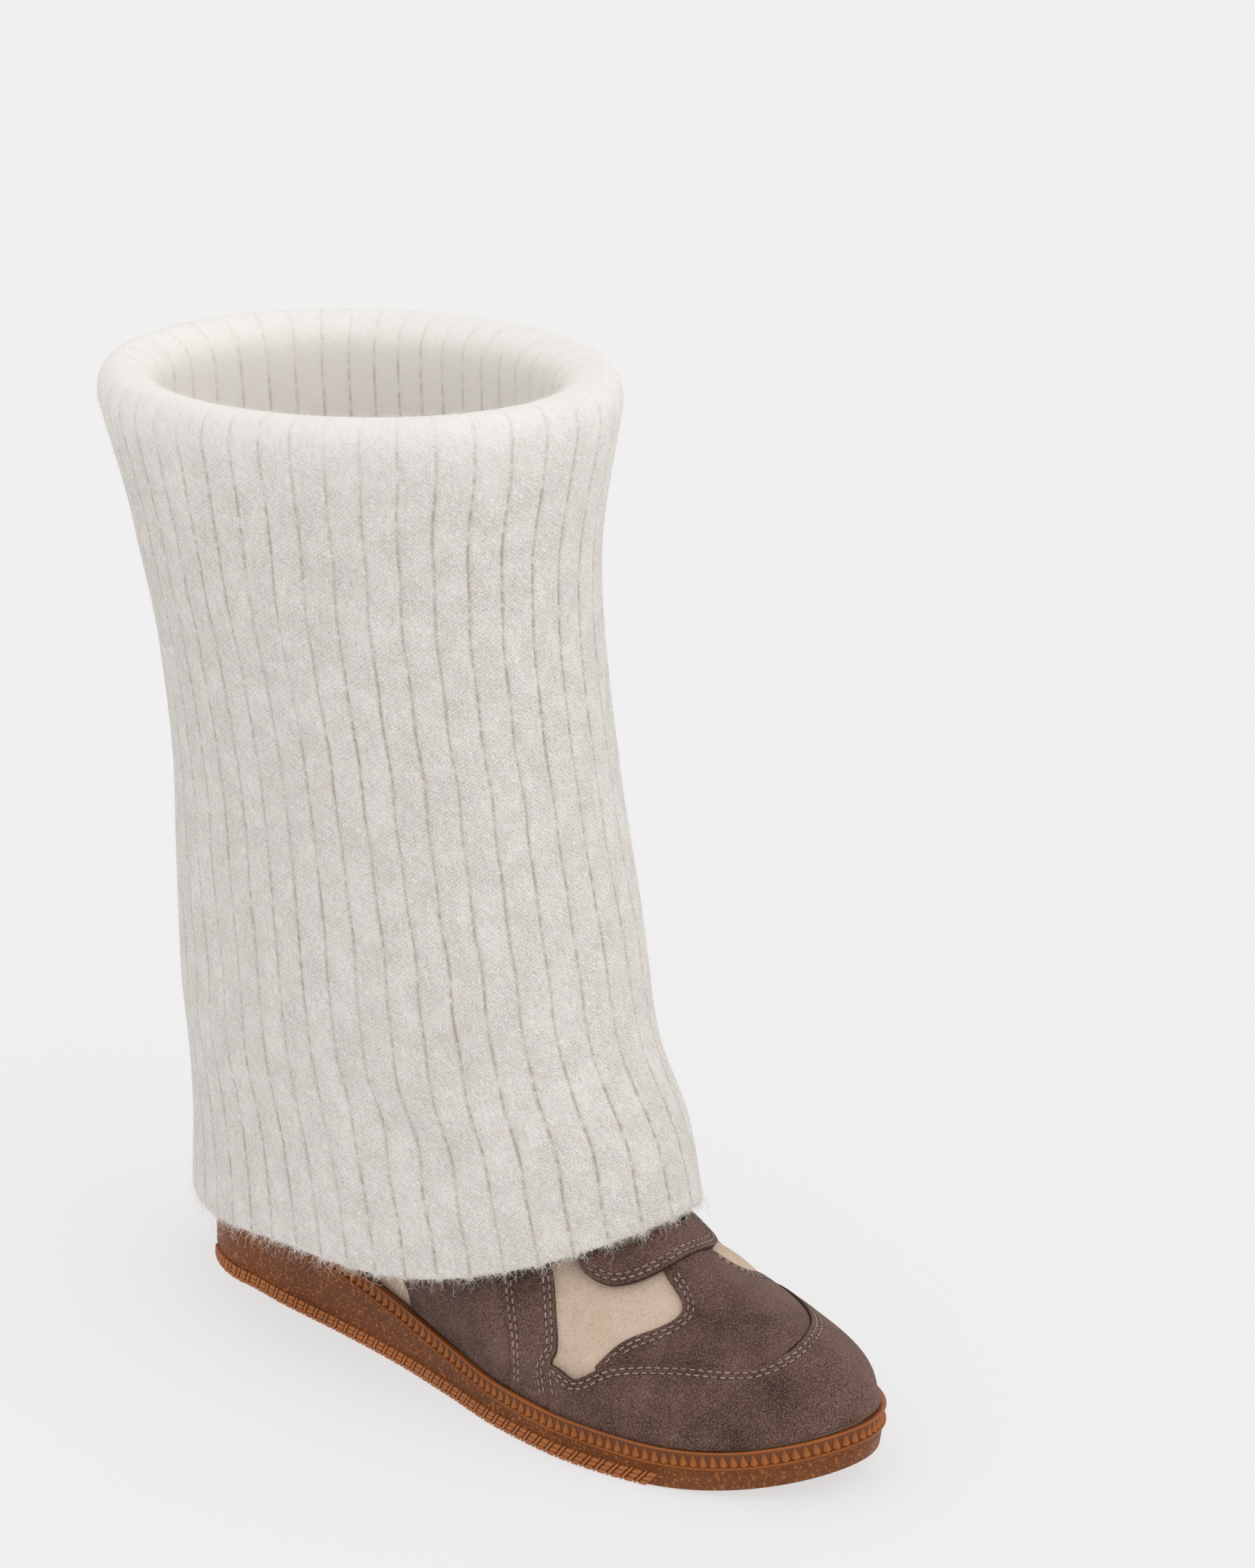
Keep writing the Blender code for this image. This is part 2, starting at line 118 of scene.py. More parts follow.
def unit(vectors):
    length = np.linalg.norm(vectors, axis=-1, keepdims=True)
    return vectors / np.maximum(length, 1e-12)


def smoothStep(low, high, value):
    share = np.clip((value - low) / (high - low), 0, 1)
    return share * share * (3 - 2 * share)


def runOf(points):
    # how far along a line of points each one lies
    return np.concatenate([[0], np.cumsum(np.linalg.norm(np.diff(points, axis=0), axis=1))])


def pointsAt(wanted, run, points):
    return np.stack([np.interp(wanted, run, points[:, axis]) for axis in range(3)], axis=-1)


def evenRing(ring, shares):
    # a closed ring of points sampled again at these shares of its length
    closed = np.vstack([ring, ring[:1]])
    run = runOf(closed)
    return pointsAt(np.mod(shares, 1.0) * run[-1], run, closed)


def smoothUp(points, rounds):
    for _ in range(rounds):
        points[1:-1] = (points[:-2] + 2 * points[1:-1] + points[2:]) / 4
    return points


def sheetNormals(points):
    # rings by columns, closed round the columns; faces away from the piece
    around = np.roll(points, -1, 1) - np.roll(points, 1, 1)
    up = np.gradient(points, axis=0)
    return unit(np.cross(around, up))


def wrappedGrid(name, rings, columns):
    # a grid primitive whose right side meets its left, with each point's ring and column
    deselectAll()
    bpy.ops.mesh.primitive_grid_add(x_subdivisions=columns, y_subdivisions=rings - 1, size=2,
                                    calc_uvs=True)
    piece = bpy.context.active_object
    piece.name = name
    piece.data.name = name
    flat = readPoints(piece.data)
    column = np.rint((flat[:, 0] + 1) / 2 * columns).astype(int)
    ring = np.rint((flat[:, 1] + 1) / 2 * (rings - 1)).astype(int)
    return piece, ring, column


def paintNumbers(mesh, name, values):
    layer = mesh.attributes.new(name, "FLOAT", "POINT")
    layer.data.foreach_set("value", np.asarray(values, dtype=np.float32))


def paintUv(mesh, across, along):
    corners = np.empty(len(mesh.loops), dtype=np.int32)
    mesh.loops.foreach_get("vertex_index", corners)
    flat = np.stack([across[corners], along[corners]], axis=-1).astype(np.float32)
    mesh.uv_layers[0].data.foreach_set("uv", flat.ravel())


def joinedMesh(name, points, faces):
    mesh = bpy.data.meshes.new(name)
    mesh.from_pydata([tuple(point) for point in points], [], faces)
    piece = bpy.data.objects.new(name, mesh)
    bpy.context.scene.collection.objects.link(piece)
    return piece


def repeatedFaces(shapes, size, count):
    # the faces of a model with this many points, for each of its copies in one mesh
    return [tuple(start + place for place in shape) for start in range(0, count * size, size)
            for shape in shapes]


def copiesOf(name, model, frames):
    # one mesh of many copies of a small model; a frame is its place, then its three directions
    base = readPoints(model.data)
    frames = np.asarray(frames)
    points = frames[:, None, 0] + np.einsum("pi,cij->cpj", base, frames[:, 1:])
    shapes = [tuple(face.vertices) for face in model.data.polygons]
    faces = repeatedFaces(shapes, len(base), len(frames))
    bpy.data.objects.remove(model)
    return joinedMesh(name, points.reshape(-1, 3), faces)


def shadeSmooth(piece, angle=None):
    makeActive(piece)
    if angle is None:
        bpy.ops.object.shade_smooth()
    else:
        bpy.ops.object.shade_smooth_by_angle(angle=math.radians(angle))


def newMaterial(name, roughness, specular):
    made = bpy.data.materials.new(name)
    made.use_nodes = True
    shader = made.node_tree.nodes["Principled BSDF"]
    shader.inputs["Roughness"].default_value = roughness
    shader.inputs["Specular IOR Level"].default_value = specular
    return made, shader


def addNode(made, kind, settings=(), **sockets):
    node = made.node_tree.nodes.new(kind)
    for key, value in dict(settings).items():
        setattr(node, key, value)
    for key, value in sockets.items():
        # a socket is named, or numbered as i0, i1 and so on
        socket = node.inputs[int(key[1:])] if key[0] == "i" and key[1:].isdigit() else node.inputs[key]
        if isinstance(value, bpy.types.NodeSocket):
            made.node_tree.links.new(value, socket)
        else:
            socket.default_value = value
    return node


def calc(made, operation, first, second=0.0, third=0.0):
    node = addNode(made, "ShaderNodeMath", {"operation": operation}, i0=first, i1=second, i2=third)
    return node.outputs[0]


def times(made, product, *others):
    for other in others:
        product = calc(made, "MULTIPLY", product, other)
    return product


def noise(made, place, scale, detail=3.0, roughness=0.55):
    sockets = {"Vector": place, "Scale": scale, "Detail": detail, "Roughness": roughness}
    return addNode(made, "ShaderNodeTexNoise", (), **sockets).outputs["Fac"]


def painted(made, name):
    return addNode(made, "ShaderNodeAttribute", {"attribute_name": name}).outputs["Fac"]


def ramp(made, value, low, high, lowValue=0.0, highValue=1.0):
    limits = {"From Min": low, "From Max": high, "To Min": lowValue, "To Max": highValue}
    return addNode(made, "ShaderNodeMapRange", {"clamp": True}, Value=value, **limits).outputs["Result"]


def mixColour(made, share, first, second, blend="MIX"):
    node = addNode(made, "ShaderNodeMix", {"data_type": "RGBA", "blend_type": blend}, i0=share)
    for place, value in ((6, first), (7, second)):
        if isinstance(value, bpy.types.NodeSocket):
            made.node_tree.links.new(value, node.inputs[place])
        else:
            node.inputs[place].default_value = (*value, 1.0)
    return node.outputs[2]


def bump(made, height, strength, distance, under=None):
    node = addNode(made, "ShaderNodeBump", (), Height=height, Strength=strength, Distance=distance)
    if under is not None:
        made.node_tree.links.new(under, node.inputs["Normal"])
    return node.outputs["Normal"]


def objectPlace(made):
    return addNode(made, "ShaderNodeTexCoord").outputs["Object"]


def plug(made, shader, colour, normal=None):
    made.node_tree.links.new(colour, shader.inputs["Base Color"])
    if normal is not None:
        made.node_tree.links.new(normal, shader.inputs["Normal"])


def setSheen(shader, weight, tint, roughness=0.5):
    shader.inputs["Sheen Weight"].default_value = weight
    shader.inputs["Sheen Roughness"].default_value = roughness
    shader.inputs["Sheen Tint"].default_value = (*tint, 1.0)


def suedeMaterial(name, values):
    made, shader = newMaterial(name, values["roughness"], 0.15)
    place = objectPlace(made)
    patches = ramp(made, noise(made, place, values["patchScale"], 4.0), 0.40, 0.60)
    nap = ramp(made, noise(made, place, values["napScale"], 3.0), 0.30, 0.70)
    grain = ramp(made, noise(made, place, values["grainScale"], 2.0), 0.30, 0.70)
    flecks = noise(made, place, values["fleckScale"], 1.0)
    flecks = ramp(made, flecks, values["fleckFrom"], values["fleckFrom"] + 0.05)
    colour = mixColour(made, patches, values["dark"], values["light"])
    colour = mixColour(made, times(made, nap, values["napShare"]), colour, values["warm"])
    shade = ramp(made, grain, 0.0, 1.0, 1.0 - values["grainDepth"], 1.0 + values["grainDepth"])
    shade = addNode(made, "ShaderNodeCombineXYZ", (), X=shade, Y=shade, Z=shade).outputs[0]
    colour = mixColour(made, 1.0, colour, shade, "MULTIPLY")
    colour = mixColour(made, times(made, flecks, values["fleckShare"]), colour, values["fleck"])
    normal = bump(made, grain, values["grainBump"], 0.0004)
    plug(made, shader, colour, bump(made, nap, values["napBump"], 0.0012, normal))
    setSheen(shader, values["sheen"], values["sheenTint"], 0.45)
    return made


brownSuede = {
    "dark": (0.050, 0.027, 0.0205), "light": (0.128, 0.070, 0.053), "warm": (0.185, 0.100, 0.075),
    "fleck": (0.42, 0.31, 0.27), "fleckShare": 0.50, "fleckFrom": 0.59,
    "patchScale": 27.0, "napScale": 95.0, "napShare": 0.50, "grainScale": 2300.0, "grainDepth": 0.65,
    "fleckScale": 3000.0, "grainBump": 0.45, "napBump": 0.22, "roughness": 0.95,
    "sheen": 0.12, "sheenTint": (0.75, 0.60, 0.55),
}
sandSuede = {
    "dark": (0.55, 0.42, 0.315), "light": (0.65, 0.505, 0.395), "warm": (0.68, 0.52, 0.40),
    "fleck": (0.30, 0.21, 0.15), "fleckShare": 0.30, "fleckFrom": 0.63,
    "patchScale": 60.0, "napScale": 190.0, "napShare": 0.4, "grainScale": 1700.0, "grainDepth": 0.20,
    "fleckScale": 1700.0, "grainBump": 0.35, "napBump": 0.10, "roughness": 0.95,
    "sheen": 0.08, "sheenTint": (0.9, 0.8, 0.7),
}
suedeBrown = suedeMaterial("taupeSuede", brownSuede)
suedeSand = suedeMaterial("sandSuede", sandSuede)


def fibreMaterial(name, scale, dark, light, specular, depth):
    made, shader = newMaterial(name, 0.9, specular)
    fibres = ramp(made, noise(made, objectPlace(made), scale), 0.3, 0.7)
    plug(made, shader, mixColour(made, fibres, dark, light), bump(made, fibres, 0.4, depth))
    return made


cutEdge = fibreMaterial("cutEdge", 1400.0, (0.045, 0.028, 0.022), (0.095, 0.060, 0.048), 0.1, 0.0003)
footbed = fibreMaterial("footbedCloth", 700.0, (0.52, 0.41, 0.29), (0.66, 0.54, 0.40), 0.2, 0.0004)


def threadMaterial(name, dark, light):
    made, shader = newMaterial(name, 0.7, 0.3)
    place = objectPlace(made)
    colour = mixColour(made, ramp(made, noise(made, place, 220.0), 0.35, 0.65), dark, light)
    twist = addNode(made, "ShaderNodeTexWave", {"bands_direction": "DIAGONAL"},
                    Vector=place, Scale=1500.0, Distortion=2.0).outputs["Fac"]
    plug(made, shader, colour, bump(made, twist, 0.4, 0.0002))
    return made


taupeThread = threadMaterial("taupeThread", (0.27, 0.205, 0.170), (0.43, 0.34, 0.29))

# the knit: one tube, up inside, rolled over the rim and down outside to the hem
knit = {
    "ribs": 44, "ribPlaces": (0.0, 0.05, 0.12, 0.30, 0.5, 0.70, 0.88, 0.95), "perimeter": 0.45,
    "grooveDepth": 0.0005, "grooveHalfWidth": 0.00045, "waver": 0.0003, "ribCrown": 0.0002,
    "swayWaves": 6, "swaySpread": 2.2, "rollFlatness": 0.75, "rollFlatRings": 9.0,
    "outerRings": 96, "rollRings": 15, "liningRings": 42, "backEvery": 7, "wall": 0.0032,
    "hemRingCount": 5, "hemBend": 60, "hemLift": 0.0014, "hemLiftRings": 12,
    # the hem's rise on the outer side: its angle from the back and half width in degrees
    "sideRise": 0.0063, "sideRiseAt": 80, "sideRiseWide": 24, "sideRiseRings": 24,
    "rollHalfWidth": 0.0575, "rollHalfLength": 0.0845, "rollY": 0.0575, "rollBack": 0.293, "rollFront": 0.309,
    "rollOuter": 0.006, "rollInner": 0.013, "rollHeight": 0.009,
    "collarY": 0.045, "collarHalfWidth": 0.035, "collarHalfLength": 0.054, "collarZ": 0.1195,
}
# the outer layer as tilted ovals from the hem up: height at the back and the front, how late the
# height rises toward the front, the middle's place from heel to toe, half width, half length
knitOvals = np.array((
    (0.0258, 0.0626, 2.7, 0.0262, 0.0539, 0.0966),
    (0.0527, 0.0828, 1.8, 0.0278, 0.0546, 0.0929),
    (0.0993, 0.1129, 1.2, 0.0368, 0.0552, 0.0861),
    (0.1385, 0.1445, 1.0, 0.0400, 0.0552, 0.0826),
    (0.1758, 0.1776, 1.0, 0.0437, 0.0552, 0.0784),
    (0.2131, 0.2131, 1.0, 0.0489, 0.0562, 0.0771),
    (0.2468, 0.2516, 1.0, 0.0548, 0.0583, 0.0797),
    (0.2840, 0.3000, 1.0, 0.0575, 0.0635, 0.0905),
))
# soft troughs and ridges of the slack knit: angle from the back in degrees (outer side first),
# height, half widths in degrees and metres, slope in metres per degree, how far in (-) or out (+)
slackFolds = (
    (118, 0.088, 15, 0.010, -0.0006, -0.0020),
    (126, 0.066, 18, 0.009, -0.0005, 0.0012),
    (142, 0.108, 13, 0.011, -0.0007, -0.0016),
    (64, 0.120, 24, 0.018, 0.0003, -0.0010),
    (95, 0.190, 26, 0.024, 0.0002, -0.0008),
    (165, 0.150, 24, 0.020, -0.0003, -0.0012),
    (215, 0.100, 24, 0.014, 0.0004, -0.0016),
    (250, 0.070, 22, 0.014, 0.0003, 0.0012),
    (300, 0.140, 28, 0.020, 0.0000, -0.0012),
    (10, 0.080, 24, 0.016, 0.0000, -0.0010),
)


def curveThrough(places, values, at):
    # a smooth curve through the values that never overshoots them
    places, values = np.asarray(places, float), np.asarray(values, float)
    steps = np.diff(places)
    slopes = np.diff(values) / steps
    tangents = np.zeros_like(values)
    tangents[0], tangents[-1] = slopes[0], slopes[-1]
    sameWay = slopes[:-1] * slopes[1:] > 0
    mean = 2 * slopes[:-1] * slopes[1:] / np.where(sameWay, slopes[:-1] + slopes[1:], 1)
    tangents[1:-1] = np.where(sameWay, mean, 0)
    row = np.clip(np.searchsorted(places, at) - 1, 0, len(steps) - 1)
    t = (at - places[row]) / steps[row]
    start = values[row] * (1 + 2 * t) * (1 - t) ** 2 + tangents[row] * steps[row] * t * (1 - t) ** 2
    end = values[row + 1] * t**2 * (3 - 2 * t) - tangents[row + 1] * steps[row] * t**2 * (1 - t)
    return start + end


def oval(angles, back, front, late, y, halfWidth, halfLength):
    rise = ((1 - np.cos(angles)) / 2) ** late
    x, y = -halfWidth * np.sin(angles), y + halfLength * np.cos(angles)
    return np.stack([x, y, back + (front - back) * rise], -1)


def knitSheet():
    # rings of points from the hem up the outer layer, over the roll and down the lining
    angles = np.arange(360) / 360 * 2 * np.pi
    heights = knitOvals[:, :2].mean(1)
    wanted = np.linspace(heights[0], heights[-1], knit["outerRings"], endpoint=False)
    columns = [curveThrough(heights, knitOvals[:, place], wanted) for place in range(6)]
    rings = [oval(angles, *row) for row in zip(*columns)]
    ringNumber = np.arange(len(rings))
    lift = knit["hemLift"] * np.clip(1 - ringNumber / knit["hemLiftRings"], 0, 1)
    fade = 1 - smoothStep(0, knit["sideRiseRings"], ringNumber)
    fromSide = (np.degrees(angles) - knit["sideRiseAt"]) / knit["sideRiseWide"]
    sideRise = knit["sideRise"] * np.exp(-(fromSide**2))
    for ring, more, share in zip(rings, lift, fade):
        ring[:, 2] += more + sideRise * share

    rollHeights = np.array([knit["rollBack"], knit["rollFront"]])
    rollHalves = np.array([knit["rollHalfWidth"], knit["rollHalfLength"]])
    for lean in np.linspace(0, np.pi, knit["rollRings"]):
        reach = (knit["rollOuter"] if lean < np.pi / 2 else knit["rollInner"]) * math.cos(lean)
        drop = knit["rollHeight"] * (1 - math.sin(lean))
        rings.append(oval(angles, *(rollHeights - drop), 1.0, knit["rollY"], *(rollHalves + reach)))
    start = np.array([*(rollHeights - knit["rollHeight"]), 1.0, knit["rollY"],
                      *(rollHalves - knit["rollInner"])])
    end = np.array([knit["collarZ"], knit["collarZ"], 1.0, knit["collarY"],
                    knit["collarHalfWidth"], knit["collarHalfLength"]])
    for share in np.linspace(0, 1, knit["liningRings"])[1:]:
        soft = smoothStep(0, 1, share)
        change = np.array([share, share, 0.0, soft, soft, soft])
        rings.append(oval(angles, *(start + (end - start) * change)))
    return smoothUp(np.stack(rings), 2)


def foldShift(sheet, shares):
    # how far the slack folds push each point of the outer layer
    angle = shares[None, :] * 360
    push = np.zeros(sheet.shape[:2])
    for where, height, wide, tall, slope, depth in slackFolds:
        aside = (angle - where + 180) % 360 - 180
        rise = sheet[..., 2] - height - slope * aside
        push += depth * np.exp(-((aside / wide) ** 2)) * np.exp(-((rise / tall) ** 2))
    return push


def knitSway(run, shares):
    # how the ribs wander sideways up the knit, as shares of the way round
    sway = np.zeros((len(run), len(shares)))
    generator = np.random.default_rng(11)
    for _ in range(knit["swayWaves"]):
        waves = generator.uniform(3, 14)
        around = generator.integers(1, 9)
        start = generator.uniform(0, 2 * np.pi)
        sway += np.sin(2 * np.pi * (waves * run[:, None] + around * shares[None, :]) + start)
    return sway * knit["waver"] / knit["swaySpread"] / knit["perimeter"]


def knitShaft():
    guide = knitSheet()
    places = np.array(knit["ribPlaces"])
    columns = knit["ribs"] * len(places)
    ribNumber = (np.arange(knit["ribs"])[:, None] + places[None, :]).ravel()
    fromGroove = np.minimum(ribNumber % 1, 1 - ribNumber % 1)
    shares = ribNumber / knit["ribs"]

    rings = len(guide)
    sway = knitSway(np.linspace(0, 1, rings), shares)
    sheet = np.stack([evenRing(guide[row], shares + sway[row]) for row in range(rings)])
    normals = sheetNormals(sheet)
    outerRings = knit["outerRings"]
    rollMiddle = outerRings + knit["rollRings"] / 2
    ringNumber = np.arange(rings)
    onOuter = 1 - smoothStep(outerRings - 8, outerRings + 2, ringNumber)
    plain = sheet + normals * (foldShift(sheet, shares) * onOuter[:, None])[..., None]

    perRib = knit["perimeter"] / knit["ribs"]
    crease = np.exp(-((fromGroove * perRib / knit["grooveHalfWidth"]) ** 2))
    crown = np.cos(np.clip(0.5 - fromGroove, 0, 0.5) * np.pi) ** 2
    rollFlat = np.exp(-(((ringNumber - rollMiddle) / knit["rollFlatRings"]) ** 2))
    rollFade = 1 - knit["rollFlatness"] * rollFlat
    relief = -knit["grooveDepth"] * crease[None, :] + knit["ribCrown"] * crown[None, :]
    skin = plain + normals * (relief * rollFade[:, None])[..., None]

    wall = knit["wall"]
    backRows = np.unique(np.concatenate([np.arange(2, rings - 1, knit["backEvery"]), [rings - 1]]))
    back = plain[backRows] - normals[backRows] * wall
    hemCount = knit["hemRingCount"]
    bend = np.radians(np.linspace(-knit["hemBend"], knit["hemBend"], hemCount))[:, None, None]
    down = unit(plain[0] - plain[2])
    hemCentre = (plain[0] + skin[0]) / 2 - normals[0] * wall / 2
    hem = hemCentre + (normals[0] * np.sin(bend) + down * np.cos(bend)) * wall / 2
    foot = plain[-1] - normals[-1] * wall / 2 + unit(plain[-1] - plain[-3]) * wall / 2
    loop = np.concatenate([hem, skin, foot[None], back[::-1]])

    piece, ring, column = wrappedGrid("knitShaft", len(loop) + 1, columns)
    ring %= len(loop)
    writePoints(piece.data, loop[ring, column % columns])
    steps = np.linalg.norm(np.diff(loop, axis=0), axis=2).mean(1)
    length = np.concatenate([[0], np.cumsum(steps), [0]])
    paintUv(piece.data, np.append(ribNumber, knit["ribs"])[column], length[ring])
    strength, rim, inside = np.zeros((3, len(loop)))
    strength[:hemCount] = 0.5
    strength[hemCount:hemCount + rings] = rollFade
    rim[hemCount:hemCount + rings] = rollFlat
    inside[hemCount:hemCount + rings] = smoothStep(rollMiddle - 3, rollMiddle + 9, ringNumber)
    # the groove mask marks where the material paints shade into the rib grooves
    paintNumbers(piece.data, "grooveShade", crease[column % columns] * strength[ring])
    # rim and inside mark the rolled rim and the lining, which the material paints lighter as painted light
    paintNumbers(piece.data, "rim", rim[ring])
    paintNumbers(piece.data, "inside", inside[ring])
    mergePoints(piece)
    shadeSmooth(piece)
    outside = (skin, normals, unit(skin[:-1] - skin[1:]))
    hemRound = (hem, unit(hem - hemCentre), np.broadcast_to(down, hem.shape))
    return piece, outside, hemRound


wool = {
    "bright": (0.99, 0.955, 0.92), "plain": (0.94, 0.885, 0.83), "shadow": (0.68, 0.585, 0.50),
    # the colour for the rib grooves is painted shade
    "grey": (0.60, 0.585, 0.575), "warm": (0.82, 0.68, 0.54), "grooveShade": (0.50, 0.405, 0.32),
    # the rim and inside colours are lighter colours painted on the rolled rim and the lining, standing in for
    # the light on them
    "rim": (0.99, 0.965, 0.93), "inside": (0.995, 0.96, 0.915), "sheenTint": (1.0, 0.97, 0.94),
    "stitchShare": 0.26, "speckShare": 0.42, "grooveShadeShare": 0.85,
    "wales": 5.0, "rowsPerMetre": 740.0, "slant": 0.9,
}


def knitMaterial():
    made, shader = newMaterial("ivoryWool", 0.92, 0.08)
    place = objectPlace(made)
    layer = addNode(made, "ShaderNodeUVMap")
    across, along, _ = addNode(made, "ShaderNodeSeparateXYZ", (), Vector=layer.outputs["UV"]).outputs
    grooveShade, rim, inside = [painted(made, name) for name in ("grooveShade", "rim", "inside")]

    tangle = calc(made, "MULTIPLY_ADD", noise(made, place, 420.0, 3.0), 0.9, -0.45)
    wale = calc(made, "FRACT", calc(made, "MULTIPLY_ADD", across, wool["wales"], tangle))
    aside = calc(made, "ABSOLUTE", calc(made, "MULTIPLY_ADD", wale, 2.0, -1.0))
    climb = calc(made, "MULTIPLY_ADD", along, wool["rowsPerMetre"], times(made, aside, wool["slant"]))
    climb = calc(made, "ADD", climb, times(made, tangle, 1.6))
    loops = calc(made, "SINE", times(made, climb, 2 * math.pi))
    leg = calc(made, "SINE", times(made, aside, math.pi))
    stitch = times(made, calc(made, "MULTIPLY_ADD", loops, 0.5, 0.5), leg)

    cloud = ramp(made, noise(made, place, 34.0, 4.0), 0.35, 0.65)
    felt = ramp(made, noise(made, place, 110.0, 4.0), 0.40, 0.64)
    melange = ramp(made, noise(made, place, 430.0, 4.0, 0.65), 0.42, 0.66)
    speck = ramp(made, noise(made, place, 1300.0, 2.0), 0.54, 0.66)
    warmSpeck = ramp(made, noise(made, place, 760.0, 3.0), 0.56, 0.68)
    fuzz = noise(made, place, 1100.0, 5.0, 0.8)

    colour = mixColour(made, melange, wool["bright"], wool["plain"])
    colour = mixColour(made, times(made, cloud, 0.25), colour, wool["plain"])
    shown = calc(made, "MULTIPLY_ADD", felt, -0.35, 1.0)
    # the painted stitch shade and the flecks are weakened on the rim and the lining
    shown = times(made, shown, calc(made, "MULTIPLY_ADD", rim, -0.75, 1.0),
                  calc(made, "MULTIPLY_ADD", inside, -0.80, 1.0))
    hollow = times(made, calc(made, "SUBTRACT", 1.0, stitch), shown)
    colour = mixColour(made, times(made, hollow, wool["stitchShare"]), colour, wool["shadow"])
    colour = mixColour(made, times(made, warmSpeck, wool["speckShare"], shown), colour, wool["warm"])
    colour = mixColour(made, times(made, speck, wool["speckShare"], shown), colour, wool["grey"])
    # painted light: the rolled rim and the lining are painted lighter, standing in for the light on the top
    # of the roll and inside the shaft
    colour = mixColour(made, times(made, rim, 0.65), colour, wool["rim"])
    colour = mixColour(made, times(made, inside, 0.90), colour, wool["inside"])
    # painted shade in the rib grooves: the wool is darkened toward the groove colour, broken into dashes and
    # fainter in large random patches
    broken = ramp(made, noise(made, place, 340.0, 3.0), 0.40, 0.58, 0.10, 1.0)
    grooveShadePatches = ramp(made, noise(made, place, 22.0, 2.0), 0.34, 0.58, 0.30, 1.0)
    paintedGrooveShade = times(made, grooveShade, broken, grooveShadePatches, wool["grooveShadeShare"])
    colour = mixColour(made, paintedGrooveShade, colour, wool["grooveShade"])

    normal = bump(made, times(made, stitch, shown), 0.75, 0.0007)
    plug(made, shader, colour, bump(made, fuzz, 0.45, 0.0009, normal))
    setSheen(shader, 0.25, wool["sheenTint"])
    return made


shaft, outerWool, hemWool = knitShaft()
shaft.data.materials.append(knitMaterial())
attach(shaft, "root")
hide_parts("knit_shaft")
print("knit shaft:", len(shaft.data.polygons), "faces")


def hairMaterial(name, colour, warm):
    made, shader = newMaterial(name, 0.85, 0.1)
    shade = ramp(made, noise(made, objectPlace(made), 260.0, 2.0), 0.3, 0.7)
    plug(made, shader, mixColour(made, shade, colour, warm))
    setSheen(shader, 0.3, (1.0, 0.98, 0.95))
    return made


def hairs(name, roots, normals, ways, values, seed):
    # loose wool hairs as thin closed three-sided strands, all joined in one mesh
    generator = np.random.default_rng(seed)
    count, steps = len(roots), values["steps"]
    extra = (values["longest"] - values["shortest"]) * generator.random(count) ** values["skew"]
    length = values["shortest"] + extra
    wander = generator.normal(size=(count, 3))
    heading = unit(normals * values["lift"] + ways * values["drop"] + wander * values["spread"])
    path = [roots - normals * values["root"]]
    for step in range(steps):
        path.append(path[-1] + heading * (length / steps)[:, None])
        turn = generator.normal(size=(count, 3)) * values["curl"]
        pull = -normals * values["hug"] + np.array([0.0, 0.0, -1.0]) * values["sag"]
        heading = unit(heading + turn + pull)
    path = np.stack(path, axis=1)
    tangent = unit(path[:, 1] - path[:, 0])
    side = unit(np.cross(tangent, generator.normal(size=(count, 3))))
    other = np.cross(tangent, side)
    thick = np.linspace(1, 0.55, steps) * values["radius"]
    turns = np.arange(3) * 2 * np.pi / 3
    corners = np.stack([side * math.cos(turn) + other * math.sin(turn) for turn in turns], axis=1)
    rings = path[:, :steps, None, :] + corners[:, None] * thick[None, :, None, None]
    points = np.concatenate([rings.reshape(count, steps * 3, 3), path[:, steps:]], axis=1)
    oneHair = [(2, 1, 0)]
    for step in range(steps - 1):
        base = step * 3
        for corner in range(3):
            after = (corner + 1) % 3
            oneHair.append((base + corner, base + after, base + 3 + after, base + 3 + corner))
    base = (steps - 1) * 3
    tips = [(base + corner, base + (corner + 1) % 3, steps * 3) for corner in range(3)]
    faces = repeatedFaces(oneHair + tips, steps * 3 + 1, count)
    return joinedMesh(name, points.reshape(-1, 3), faces)


surfaceHairs = {
    "count": 19000, "steps": 2, "shortest": 0.0010, "longest": 0.0030, "skew": 1.3, "radius": 0.00004,
    "root": 0.0002, "lift": 0.6, "drop": 0.4, "spread": 1.0, "curl": 0.7, "hug": 0.35, "sag": 0.0,
}
rimHairs = {**surfaceHairs, "count": 15000, "shortest": 0.0012, "skew": 1.0, "lift": 1.0, "drop": 0.0,
            "hug": 0.2}
hemFuzz = {
    "count": 7500, "steps": 4, "shortest": 0.0006, "longest": 0.0032, "skew": 1.7, "radius": 0.000040,
    "root": 0.0003, "lift": 0.8, "drop": 0.3, "spread": 0.9, "curl": 0.60, "hug": 0.0, "sag": 0.05,
}
hemHairs = {**hemFuzz, "count": 2600, "steps": 8, "shortest": 0.0020, "longest": 0.0105, "skew": 2.4,
            "radius": 0.000037, "spread": 0.8, "curl": 0.65, "sag": 0.10}
woolHair = hairMaterial("ivoryHair", (0.99, 0.955, 0.915), (0.94, 0.89, 0.83))


def scatterHairs(name, sheet, firstRing, lastRing, values, seed):
    # a sheet is its points, the ways that face away from it and the ways down it
    skin, facing, downWays = sheet
    generator = np.random.default_rng(seed)
    rings = generator.uniform(firstRing, lastRing, values["count"])
    whole = rings.astype(int)
    part = (rings - whole)[:, None]
    columns = generator.integers(0, skin.shape[1], values["count"])
    roots = skin[whole, columns] * (1 - part) + skin[whole + 1, columns] * part
    piece = hairs(name, roots, facing[whole, columns], downWays[whole, columns], values, seed)
    piece.data.materials.append(woolHair)
    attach(piece, "root")


